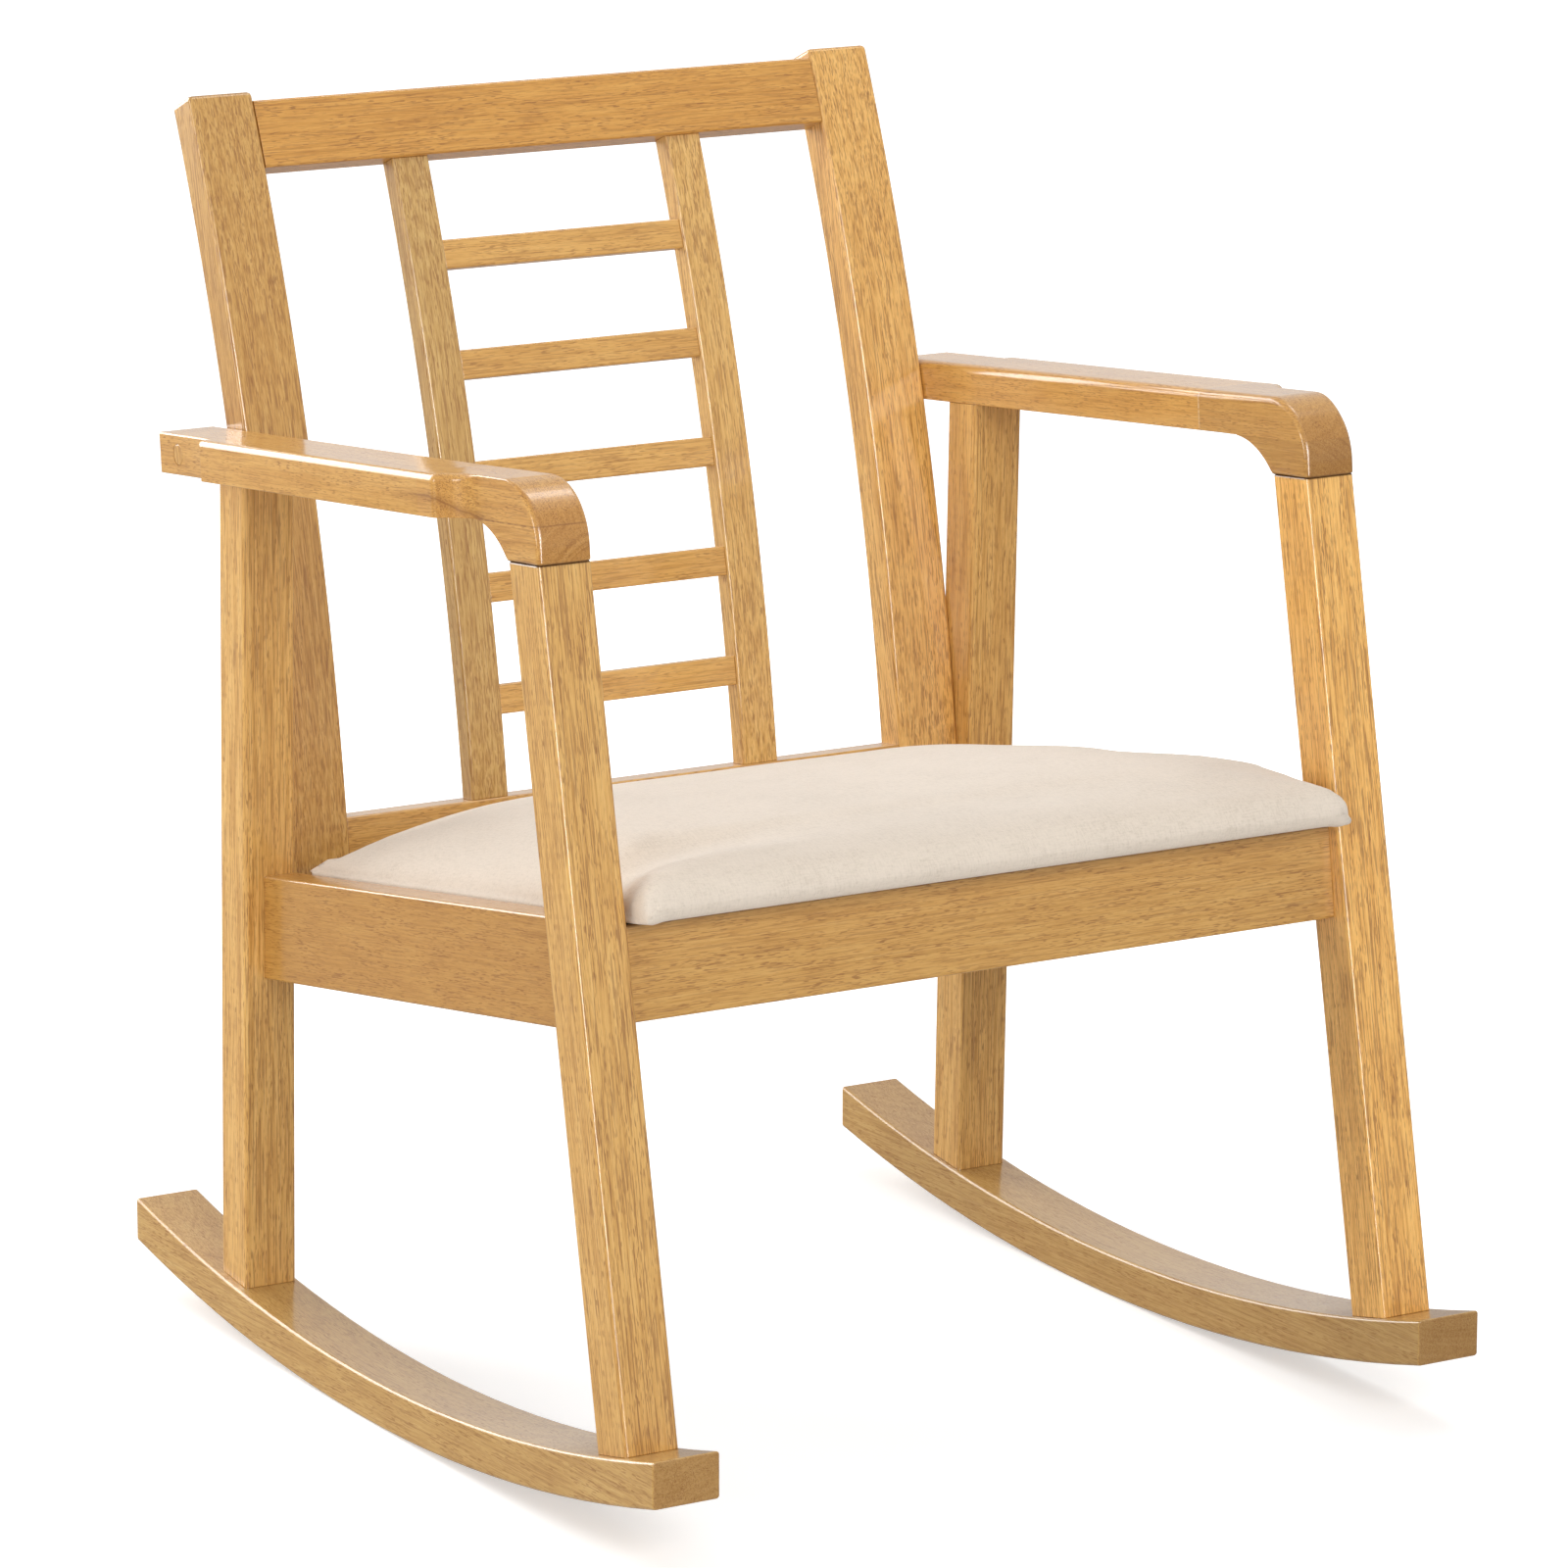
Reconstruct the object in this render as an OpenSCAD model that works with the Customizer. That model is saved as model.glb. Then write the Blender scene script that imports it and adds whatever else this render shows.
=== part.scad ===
// Rocking chair: two glued side frames, a curved ladder back bolted between
// them, a front rail and an upholstered drop-in seat.
// +X is to the right seen from the front, the sitter faces -Y, +Z is up.
// Left and right are as seen from the front.

/* [Side frames] */
// Clear width between the two side frames
inner_w = 560; // [500:5:640]
// Side of the square front leg, and width of both legs
leg_size = 40; // [36:1:46]
// Depth of the rear leg, front to back
rear_leg_d = 38.6; // [34:0.2:46]
// Where the front leg's middle line meets the floor, in front of the frame's reference line
front_foot = 322; // [300:1:340]
// Lean of the front leg, top to the back, in degrees
front_lean = 11; // [8:0.5:13]
// Where the rear leg's middle line meets the floor, behind the reference line
rear_foot = 248; // [235:1:262]
// Lean of the rear leg, top to the front, in degrees
rear_lean = 1.7; // [0:0.1:3]

/* [Rockers] */
// Radius of the edge that runs on the floor
rocker_r = 1698; // [1500:2:2000]
// Depth of the rocker, running edge to top
rocker_t = 31.5; // [28:0.5:38]
// Width of the rocker
rocker_w = 50; // [46:1:60]
// How far the rocker's middle sits outside the leg's middle
rocker_out = 1.5; // [0:0.5:3]
// Where the rocker touches the floor, behind the reference line
contact = 45; // [35:1:55]
// Length of the rocker in front of the point of contact
rocker_front = 420; // [395:1:450]
// Length of the rocker behind the point of contact
rocker_rear = 349; // [310:1:380]

/* [Seat] */
// Height of the side rails' top edge above the floor, at the reference line
seat_h = 378; // [350:1:410]
// Slope of the seat, front edge up, in degrees
seat_slope = 8.4; // [6:0.2:10]
// Height of the side rail
side_rail_h = 74.4; // [66:0.2:84]
// Thickness of the side rail
side_rail_t = 24.6; // [20:0.2:30]
// Height of the front rail
front_rail_h = 65; // [58:1:68]
// Thickness of the front rail
front_rail_t = 24.5; // [20:0.5:28]
// Thickness of the seat board
board_t = 12; // [9:1:15]
// Height of the cushion's crown above the side rails
crown_h = 53; // [46:1:60]
// How far the cushion stands out in front of the legs
cushion_nose = 27.5; // [15:0.5:35]

/* [Arms] */
// Height of the arm's top above the floor, at the reference line
arm_h = 680; // [650:1:710]
// Slope of the arm, front end up, in degrees
arm_slope = 5.35; // [3:0.05:7]
// Thickness of the arm
arm_t = 29; // [25:0.5:34]
// Width of the arm where the forearm rests
arm_w = 57.5; // [52:0.5:66]
// Width of the arm's tail, beside the back post
tail_w = 48; // [44:0.5:50]
// Radius of the bend at the front of the arm
elbow_r = 44; // [36:1:48]

/* [Back] */
// Radius of the curve of the back
back_r = 1869; // [1600:1:2200]
// Lean of the back at its lower rail, in degrees
back_lean = 7; // [5:0.1:9]
// Height of the lower rail's top above the side rails' plane
rear_rail_rise = 30; // [24:0.5:38]
// Height of the open part of the back, between its two rails
open_h = 467; // [430:1:500]
// Width of a back post
post_w = 50; // [44:1:56]
// Thickness of a back post, front to back
post_t = 29; // [26:0.5:34]
// Height of the top rail
top_rail_h = 49.5; // [42:0.5:60]
// Thickness of the top rail
top_rail_t = 25; // [20:0.5:26]
// Clear width between the two stiles
slat_len = 196; // [160:2:230]
// Width of a stile
stile_w = 29.3; // [26:0.1:34]
// Thickness of a stile
stile_t = 17; // [15:0.5:20]
// Height of a slat
slat_h = 21.5; // [16:0.5:28]
// Thickness of a slat
slat_t = 10.5; // [9:0.5:12]

/* [Joinery] */
// Diameter of the dowels in the side frames and the back
dowel_d = 8; // [7:0.5:9]
// Diameter of the dowels between the legs and the rockers
foot_dowel_d = 10; // [9:0.5:12]
// Diameter of the wood plug over each arm bolt
plug_d = 15; // [13:0.5:17]
// Thread diameter of the bolts that hold the back
bolt_d = 6; // [5:0.5:6]

/* [Hidden] */

wood = "burlywood";
steel = "silver";
linen = "linen";
$fn = 48;
curve_fn = 1440;     // facets of the long curves
far = 3000;          // longer than anything on the chair
fit = 0.1;           // clearance all round a dowel or a screw in its bore
glue = 0.1;          // glue line under the curved feet

// ---- flat geometry in the side plane: [y, z] pairs and lines of [point, direction] ----
function cross2(a, b) = a.x * b.y - a.y * b.x;
function hit(a, b) = a[0] + a[1] * cross2(b[0] - a[0], b[1]) / cross2(a[1], b[1]);
function leg_line(foot, lean, off) =
    [[foot + off * cos(lean), -off * sin(lean)], [sin(lean), cos(lean)]];
function slope_line(h, slope, w) =
    [[w * sin(slope), h + w * cos(slope)], [cos(slope), -sin(slope)]];
function along(p, h, slope) = p.x * cos(slope) - (p.y - h) * sin(slope);

front_half = leg_size / 2;
rear_half = rear_leg_d / 2;
function front_leg_line(off) = leg_line(-front_foot, front_lean, off);
function rear_leg_line(off) = leg_line(rear_foot, -rear_lean, off);
function seat_line(w) = slope_line(seat_h, seat_slope, w);
function arm_line(w) = slope_line(arm_h, arm_slope, w);

in_x = inner_w / 2;                      // inner face of a side frame
leg_x = in_x + leg_size / 2;             // middle of the legs
peg_x = [in_x + leg_size / 4, in_x + leg_size * 3 / 4];
rocker_c = [contact, rocker_r];          // centre of the running edge

// ---- the back: everything lies on circles round back_c ----
per_mm = 180 / (PI * back_r);            // degrees of back curve for one millimetre
post_set = 15.5;                         // post front behind the rear leg's front face
rear_rail_top = hit(rear_leg_line(-rear_half), seat_line(rear_rail_rise)) + [post_set, 0];
back_c = rear_rail_top + back_r * [cos(back_lean), -sin(back_lean)];
post_drop = 114;                         // post below the lower rail's top
horn = 7;                                // post above the top rail
rear_rail_h = 50;
rear_rail_t = 26;
rear_rail_in = 2;                        // set back of the lower rail
stile_in = 4;                            // set back of the stiles
slat_in = 6;                             // set back of the slats
slat_first = 70;                         // lowest slat's middle above the lower rail
slat_last = 62 + slat_h / 2;             // highest slat's middle below the top rail
slat_n = 5;
slat_pitch = (open_h - slat_first - slat_last) / (slat_n - 1);
phi_low = back_lean;
phi_open = phi_low + open_h * per_mm;
phi_rail = phi_open + top_rail_h * per_mm;
phi_post = [phi_low - post_drop * per_mm, phi_rail + horn * per_mm];
post_x = in_x - post_w;
stile_x = slat_len / 2;
function back_y(z, inset) =
    back_c.x - sqrt(pow(back_r - inset, 2) - pow(z - back_c.y, 2));

// ---- the seat, in a frame tilted with the side rails ----
seat_drop = 4;                           // cushion's underside below the rails' top
cloth = 1;                               // thickness of the cover
rail_low = 5.8;                          // front rail's top below the side rails' top
rail_set = 11;                           // front rail behind the front of the legs
leg_front_v = along(hit(front_leg_line(-front_half), seat_line(0)), seat_h, seat_slope);
leg_back_v = along(hit(rear_leg_line(-rear_half), seat_line(0)), seat_h, seat_slope);
rail_v = leg_front_v + rail_set;
rail_back_v = rail_v + front_rail_t;
cushion_v = [leg_front_v - cushion_nose, leg_back_v - 12];
cushion_mid_v = (cushion_v[0] + cushion_v[1]) / 2;
cushion_half_v = (cushion_v[1] - cushion_v[0]) / 2;
cushion_half_x = in_x - 2;
edge_run = [60, 20];                     // how far in the crown rounds over: sides, front and back
shoulder_h = [43, 24.4];                 // height that the crown falls to there, before it rounds
edge_low = [6, 4.4];                     // height that the rounding ends at
turn_in = 28;                            // cover turned in under the board
cleat_size = 20;
seat_screw_in = 13;                      // screw through the cleat, in from the side frame
block_leg = 58;                          // corner block along each rail
block_end = 20;                          // corner block's square ends
block_t = 28;
cleat_v = [rail_back_v + block_leg + 4, cushion_v[1] - 6];

// ---- the arms, in a frame tilted with the arm ----
elbow_drop = 54.2;                       // leg's top below the arm's top
under_r = 60;                            // hollow under the elbow
nose_over = 2;                           // elbow in front of the leg
seam_gap = 89.5;                         // front leg's back to the seam in the arm
neck = [22.5, 57.5];                     // where the arm narrows, in front of the seam
neck_round = 8;                          // radius of the corner where it begins to narrow
arm_front_v =
    along(hit(front_leg_line(-front_half), arm_line(-elbow_drop)), arm_h, arm_slope) - nose_over;
elbow_back_v = along(hit(front_leg_line(front_half), arm_line(-elbow_drop)), arm_h, arm_slope);
under_v = elbow_back_v + sqrt(pow(under_r, 2) - pow(under_r - elbow_drop + arm_t, 2));
seam_v = elbow_back_v + seam_gap;
arm_mid_z = arm_h - arm_t / 2 - back_y(arm_h, 0) * tan(arm_slope);
post_mid_y = back_y(arm_mid_z, post_t / 2);
tail_v = [
    along([back_y(arm_mid_z, 0) - 42, arm_mid_z], arm_h, arm_slope),
    along([back_y(arm_mid_z, post_t) + 12, arm_mid_z], arm_h, arm_slope)
];
bolt_v = along([post_mid_y - 3, arm_mid_z], arm_h, arm_slope);

// ---- hardware ----
bore_d = dowel_d + 2 * fit;
bolt_hole_d = bolt_d + 0.6;
head_d = 10;
head_h = 6;
insert_d = 9;
insert_l = 14;
plug_l = 10;
screw_d = 3.5;
screw_head_d = 7;

// ---- placing ----
module side_plate(x0, x1) {
    translate([x0, 0, 0]) rotate([90, 0, 90]) linear_extrude(x1 - x0) children();
}
module tilted(h, slope) {
    translate([0, 0, h]) rotate([-slope, 0, 0]) children();
}
module seat_frame() {
    tilted(seat_h, seat_slope) children();
}
module arm_frame() {
    tilted(arm_h, arm_slope) children();
}
module back_at(phi, inset = 0) {
    translate([0, back_c.x, back_c.y]) rotate([-phi, 0, 0])
        translate([0, inset - back_r, 0]) children();
}
module leg_axis(foot, lean) {
    translate([0, foot, 0]) rotate([-lean, 0, 0]) children();
}
module left() {
    mirror([1, 0, 0]) children();
}
module both() {
    children();
    mirror([1, 0, 0]) children();
}
module place() {
    front_y = contact - rocker_front;
    top_back = back_c.x - (back_r - post_t) * cos(phi_post[1]);
    back_end = max(contact + rocker_rear, top_back);
    translate([0, -(front_y + back_end) / 2, 0]) children();
}

// ---- fasteners: each is drawn once, slimmer as the piece and wider as its bore ----
module pegs_at(points, d, l, turn) {
    for (p = points) translate(p) rotate(turn) cylinder(d = d, h = l, center = true);
}

// side rail into both legs, along the seat
module rail_pegs(d, l) {
    rail_x = in_x + side_rail_t / 2;
    front = [for (w = [-12, -40])
        [rail_x, along(hit(front_leg_line(front_half), seat_line(w)), seat_h, seat_slope), w]];
    rear = [for (w = [-15, -52])
        [rail_x, along(hit(rear_leg_line(-rear_half), seat_line(w)), seat_h, seat_slope), w]];
    seat_frame() pegs_at(concat(front, rear), d, l, [90, 0, 0]);
}
// legs into the rocker, along each leg
module foot_pegs(d, l) {
    z_front = rocker_r - sqrt(pow(rocker_r - rocker_t, 2) - pow(front_foot + contact, 2));
    z_rear = rocker_r - sqrt(pow(rocker_r - rocker_t, 2) - pow(rear_foot - contact, 2));
    rise = 6;                            // more of the dowel lies in the leg
    leg_axis(-front_foot, front_lean)
        pegs_at([for (x = peg_x) [x, 0, z_front / cos(front_lean) + rise - 3]], d, l, [0, 0, 0]);
    leg_axis(rear_foot, -rear_lean)
        pegs_at([for (x = peg_x) [x, 0, z_rear + rise]], d, l, [0, 0, 0]);
}
// front leg through the elbow block into the nose, and rear leg into the arm
module arm_pegs(d, slack) {
    elbow_mid = along(hit(front_leg_line(0), arm_line(-elbow_drop)), arm_h, arm_slope);
    rear_mid = along(hit(rear_leg_line(0), arm_line(-arm_t)), arm_h, arm_slope);
    elbow_len = elbow_drop - arm_t + 36;
    arm_frame() {
        pegs_at([for (x = peg_x) [x, elbow_mid, 12 - arm_t - elbow_len / 2]],
            d, elbow_len + slack, [0, 0, 0]);
        pegs_at([for (x = peg_x) [x, rear_mid, -arm_t - 4]], d, 40 + slack, [0, 0, 0]);
    }
}
// nose onto the arm, along the arm
module seam_pegs(d, l) {
    arm_frame() pegs_at([for (x = peg_x) [x + 4, seam_v, -arm_t / 2]], d, l, [90, 0, 0]);
}
// front rail into the front legs
module front_rail_pegs(d, l) {
    mid_v = rail_v + front_rail_t / 2;
    seat_frame() pegs_at([for (w = [-26, -56]) [in_x, mid_v, w]], d, l, [0, 90, 0]);
}
// both rails of the back into the posts
module post_pegs(d, l) {
    for (s = [-1, 1])
        back_at((phi_open + phi_rail) / 2 + s * 13 * per_mm, top_rail_t / 2)
            pegs_at([[post_x, 0, 0]], d, l, [0, 90, 0]);
    for (s = [-1, 1])
        back_at(phi_low - (rear_rail_h / 2 + s * 13) * per_mm, rear_rail_in + rear_rail_t / 2)
            pegs_at([[post_x, 0, 0]], d, l, [0, 90, 0]);
}
// stile into both rails
module stile_pegs(d, l) {
    for (phi = [phi_low, phi_open])
        back_at(phi, stile_in + stile_t / 2)
            pegs_at([for (x = [7, stile_w - 7]) [stile_x + x, 0, 0]], d, l, [0, 0, 0]);
}
// a bolt along X from a head at x, its shank going inwards or outwards by l
module bolt(x, l, way) {
    translate([x, 0, 0]) rotate([0, 90 * way, 0]) {
        cylinder(d = bolt_d, h = l);
        difference() {
            translate([0, 0, -head_h]) cylinder(d = head_d, h = head_h);
            translate([0, 0, -head_h - 1]) cylinder(d = 5, h = 4, $fn = 6);
        }
    }
}
module bolt_bore(x, l, way, recess, recess_d) {
    translate([x, 0, 0]) rotate([0, 90 * way, 0]) {
        translate([0, 0, -1]) cylinder(d = bolt_hole_d, h = l + 2);
        translate([0, 0, -recess]) cylinder(d = recess_d, h = recess);
    }
}
module insert_body(x, way) {
    translate([x, 0, 0]) rotate([0, 90 * way, 0]) difference() {
        cylinder(d = insert_d, h = insert_l);
        translate([0, 0, -1]) cylinder(d = bolt_d + 2 * fit, h = insert_l + 2);
    }
}
module insert_bore(x, way) {
    translate([x, 0, 0]) rotate([0, 90 * way, 0])
        translate([0, 0, -1]) cylinder(d = insert_d + 2 * fit, h = insert_l + 1 + fit);
}
arm_bolt_l = 45;
post_bolt_l = 60;
arm_head_x = in_x + tail_w - 20;         // under the arm bolt's head
post_head_x = post_x + 10;               // under a post bolt's head
module at_arm_bolt() {
    arm_frame() translate([0, bolt_v, -arm_t / 2]) children();
}
module at_post_bolts() {
    for (up = [13, 50]) back_at(phi_post[0] + up * per_mm, post_t / 2) children();
}
// a countersunk wood screw, driven along its own +Z, with its head's face at 0
module screw(l) {
    cylinder(d = screw_d, h = l);
    cylinder(d1 = screw_head_d, d2 = screw_d, h = 3);
}
module screw_bore(l) {
    translate([0, 0, -1]) cylinder(d = screw_d + 2 * fit, h = l + 2);
    cylinder(d1 = screw_head_d + 2 * fit, d2 = screw_d + 2 * fit, h = 3 + fit);
    translate([0, 0, -40]) cylinder(d = screw_head_d + 2 * fit, h = 40);
}
function cleat_at(k) = cleat_v[0] + k * (cleat_v[1] - cleat_v[0]);
module at_cleat_screws() {
    for (k = [0.1, 0.42, 0.9])
        seat_frame()
            translate([in_x - cleat_size, cleat_at(k), -seat_drop - cleat_size / 2])
                rotate([0, 90, 0]) children();
}
module at_seat_screws() {
    for (k = [0.25, 0.7])
        seat_frame()
            translate([in_x - seat_screw_in, cleat_at(k), -seat_drop - cleat_size]) children();
}
module at_block_screws() {
    low = -seat_drop - block_t / 2;
    seat_frame() {
        translate([in_x - block_end, rail_back_v + block_leg - 9, low]) rotate([0, 90, 0]) children();
        translate([in_x - block_leg + 9, rail_back_v + block_end, low]) rotate([90, 0, 0]) children();
    }
}

// ---- side frames, drawn for the right side ----
module rocker() {
    mid = leg_x + rocker_out;
    color(wood) difference() {
        side_plate(mid - rocker_w / 2, mid + rocker_w / 2) intersection() {
            translate(rocker_c) difference() {
                circle(r = rocker_r, $fn = curve_fn);
                circle(r = rocker_r - rocker_t, $fn = curve_fn);
            }
            translate([contact - rocker_front, -1]) square([rocker_front + rocker_rear, 300]);
        }
        foot_pegs(foot_dowel_d + 2 * fit, 48 + 2 * fit);
    }
}
module leg_profile(points) {
    intersection() {
        polygon(points);
        translate(rocker_c) circle(r = rocker_r - rocker_t - glue, $fn = curve_fn);
    }
}
module front_leg() {
    low = slope_line(0, 0, 1);
    color(wood) difference() {
        side_plate(in_x, in_x + leg_size) leg_profile([
            hit(front_leg_line(-front_half), low),
            hit(front_leg_line(front_half), low),
            hit(front_leg_line(front_half), arm_line(-elbow_drop)),
            hit(front_leg_line(-front_half), arm_line(-elbow_drop))
        ]);
        foot_pegs(foot_dowel_d + 2 * fit, 48 + 2 * fit);
        rail_pegs(bore_d, 40 + 2 * fit);
        front_rail_pegs(bore_d, 40 + 2 * fit);
        arm_pegs(bore_d, 2 * fit);
    }
}
module rear_leg() {
    low = slope_line(0, 0, 1);
    color(wood) difference() {
        side_plate(in_x, in_x + leg_size) leg_profile([
            hit(rear_leg_line(-rear_half), low),
            hit(rear_leg_line(rear_half), low),
            hit(rear_leg_line(rear_half), arm_line(-arm_t)),
            hit(rear_leg_line(-rear_half), arm_line(-arm_t))
        ]);
        foot_pegs(foot_dowel_d + 2 * fit, 48 + 2 * fit);
        rail_pegs(bore_d, 40 + 2 * fit);
        arm_pegs(bore_d, 2 * fit);
        at_post_bolts() {
            bolt_bore(post_head_x, post_bolt_l, 1, 1, bolt_hole_d);
            insert_bore(in_x, 1);
        }
    }
}
module side_rail() {
    color(wood) difference() {
        side_plate(in_x, in_x + side_rail_t) polygon([
            hit(front_leg_line(front_half), seat_line(-side_rail_h)),
            hit(rear_leg_line(-rear_half), seat_line(-side_rail_h)),
            hit(rear_leg_line(-rear_half), seat_line(0)),
            hit(front_leg_line(front_half), seat_line(0))
        ]);
        rail_pegs(bore_d, 40 + 2 * fit);
        at_cleat_screws() screw_bore(35);
        at_block_screws() screw_bore(34);
    }
}
module arm() {
    outer = in_x + arm_w;
    tail = in_x + tail_w;
    color(wood) difference() {
        arm_frame() translate([0, 0, -arm_t]) linear_extrude(arm_t) polygon([
            [in_x, seam_v],
            [outer, seam_v],
            [outer, tail_v[0]],
            [tail, tail_v[0] + 2],
            [tail, tail_v[1]],
            [in_x, tail_v[1]]
        ]);
        seam_pegs(bore_d, 40 + 2 * fit);
        arm_pegs(bore_d, 2 * fit);
        at_arm_bolt() bolt_bore(arm_head_x, arm_bolt_l, -1, 30, plug_d + 2 * fit);
    }
}
// outline of the bend, seen from the side, in the arm's frame
module elbow_outline() {
    translate([arm_front_v + elbow_r, -elbow_r]) circle(r = elbow_r, $fn = 96);
    translate([arm_front_v, -elbow_drop]) square([seam_v - arm_front_v, elbow_drop - elbow_r]);
    translate([arm_front_v + elbow_r, -elbow_drop]) square([seam_v - arm_front_v - elbow_r, elbow_drop]);
}
module arm_nose() {
    outer = in_x + arm_w;
    slim = in_x + leg_size;
    step = outer - slim;
    run = neck[1] - neck[0];
    turn_r = (pow(run, 2) + pow(step, 2)) / (2 * step);
    turn_c = [slim + turn_r, seam_v - neck[1]];
    reach = turn_r + neck_round;
    round_x = outer - neck_round;
    round_c = [round_x, turn_c.y + sqrt(pow(reach, 2) - pow(turn_c.x - round_x, 2))];
    meet = turn_c + turn_r / reach * (round_c - turn_c);
    color(wood) difference() {
        intersection() {
            arm_frame() translate([0, 0, -arm_t]) linear_extrude(arm_t) difference() {
                translate([in_x, arm_front_v - 1]) square([arm_w, seam_v - arm_front_v + 1]);
                translate([slim, arm_front_v - 2])
                    square([arm_w, seam_v - neck[1] - arm_front_v + 2]);
                intersection() {
                    translate(turn_c) circle(r = turn_r, $fn = 96);
                    translate([slim, turn_c.y - 1]) square([arm_w, run + 1]);
                }
                difference() {
                    polygon([meet, [outer + 1, meet.y], [outer + 1, round_c.y], round_c]);
                    translate(round_c) circle(r = neck_round, $fn = 48);
                }
            }
            arm_frame() side_plate(in_x - 1, outer + 1) elbow_outline();
        }
        seam_pegs(bore_d, 40 + 2 * fit);
        arm_pegs(bore_d, 2 * fit);
    }
}
module elbow_block() {
    feather = 6;                         // stops short of the hollow's thin edge
    color(wood) difference() {
        arm_frame() side_plate(in_x, in_x + leg_size) difference() {
            intersection() {
                elbow_outline();
                translate([arm_front_v - 1, -elbow_drop])
                    square([under_v - feather - arm_front_v + 1, elbow_drop - arm_t]);
            }
            translate([under_v, -arm_t - under_r]) circle(r = under_r, $fn = 96);
        }
        arm_pegs(bore_d, 2 * fit);
    }
}
module front_rail() {
    color(wood) difference() {
        seat_frame() translate([-in_x, rail_v, -rail_low - front_rail_h])
            cube([inner_w, front_rail_t, front_rail_h]);
        both() front_rail_pegs(bore_d, 40 + 2 * fit);
        both() at_block_screws() screw_bore(34);
    }
}

// ---- the back ----
module ring(inset, t, phi_a, phi_b) {
    reach = back_r * 1.1;
    translate(back_c) intersection() {
        difference() {
            circle(r = back_r - inset, $fn = curve_fn);
            circle(r = back_r - inset - t, $fn = curve_fn);
        }
        polygon([[0, 0], reach * [-cos(phi_a), sin(phi_a)], reach * [-cos(phi_b), sin(phi_b)]]);
    }
}
module back_post() {
    color(wood) difference() {
        side_plate(post_x, in_x) ring(0, post_t, phi_post[0], phi_post[1]);
        post_pegs(bore_d, 40 + 2 * fit);
        at_arm_bolt() {
            bolt_bore(arm_head_x, arm_bolt_l, -1, 1, bolt_hole_d);
            insert_bore(in_x, -1);
        }
        at_post_bolts() bolt_bore(post_head_x, post_bolt_l, 1, 20, head_d + 1);
    }
}
module top_rail() {
    color(wood) difference() {
        side_plate(-post_x, post_x) ring(0, top_rail_t, phi_open, phi_rail);
        both() post_pegs(bore_d, 40 + 2 * fit);
        both() stile_pegs(6 + 2 * fit, 36 + 2 * fit);
    }
}
module rear_rail() {
    color(wood) difference() {
        side_plate(-post_x, post_x)
            ring(rear_rail_in, rear_rail_t, phi_low - rear_rail_h * per_mm, phi_low);
        both() post_pegs(bore_d, 40 + 2 * fit);
        both() stile_pegs(6 + 2 * fit, 36 + 2 * fit);
    }
}
tenon = [9, 5.5, 15];                    // slat tenon: length, thickness, height
function slat_phi(k) = phi_low + (slat_first + k * slat_pitch) * per_mm;
module slat_tenon(k, slack) {
    back_at(slat_phi(k), slat_in + slat_t / 2)
        translate([stile_x - 1, -tenon.y / 2 - slack, -tenon.z / 2 - slack])
            cube([tenon.x + 1 + slack, tenon.y + 2 * slack, tenon.z + 2 * slack]);
}
module back_stile() {
    color(wood) difference() {
        side_plate(stile_x, stile_x + stile_w) ring(stile_in, stile_t, phi_low, phi_open);
        stile_pegs(6 + 2 * fit, 36 + 2 * fit);
        for (k = [0 : slat_n - 1]) slat_tenon(k, fit);
    }
}
module back_slat(k) {
    half = slat_h / 2 * per_mm;
    color(wood) {
        side_plate(-stile_x, stile_x)
            ring(slat_in, slat_t, slat_phi(k) - half, slat_phi(k) + half);
        both() slat_tenon(k, 0);
    }
}

// ---- the seat ----
// side is 0 across the seat and 1 along it; half is half the cushion's size that way
function rounded(u, half, run, fall) =
    let (over = (abs(u) - (half - run)) / run)
        over <= 0 ? 0 : fall * (1 - sqrt(max(0, 1 - over * over)));
function arch(u, half, side, skin) =
    crown_h - skin - (crown_h - shoulder_h[side]) * pow(u / half, 2)
        - rounded(u, half - skin, edge_run[side], shoulder_h[side] - edge_low[side]);
arch_steps = 30;
function steps(half) = [for (k = [-arch_steps : arch_steps]) half * sin(90 * k / arch_steps)];
// crowned block, drawn in by skin all round
module pillow(skin, bottom) {
    half_v = cushion_half_v - skin;
    half_x = cushion_half_x - skin;
    side_outline = [for (u = steps(half_v))
        [cushion_mid_v + u, arch(u, cushion_half_v, 1, skin)]];
    front_outline = [for (u = steps(half_x))
        [u, arch(u, cushion_half_x, 0, skin)]];
    corner = 5;                          // the lower front edge is cut back by this
    intersection() {
        side_plate(-half_x - 1, half_x + 1) polygon(concat(
            [[cushion_mid_v - half_v, bottom + corner], [cushion_mid_v - half_v + corner, bottom]],
            [[cushion_mid_v + half_v, bottom]],
            [for (k = [len(side_outline) - 1 : -1 : 0]) side_outline[k]]
        ));
        translate([0, cushion_v[1] + 1, 0]) rotate([90, 0, 0])
            linear_extrude(cushion_v[1] - cushion_v[0] + 2) polygon(concat(
                [[-half_x, bottom], [half_x, bottom]],
                [for (k = [len(front_outline) - 1 : -1 : 0]) front_outline[k]]
            ));
    }
}
board_front = 10;                        // board behind the cushion's front
board_gap = [1.4, 0.2];                  // board inside the cover at the sides, and at the back
board_edge = 3;                          // upright part of the board's edge, under its slope
board_slope = [10, 14];                  // width of the sloped edge at the sides, and at the back
board_cut = 9;                           // rear corners cut off
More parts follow.
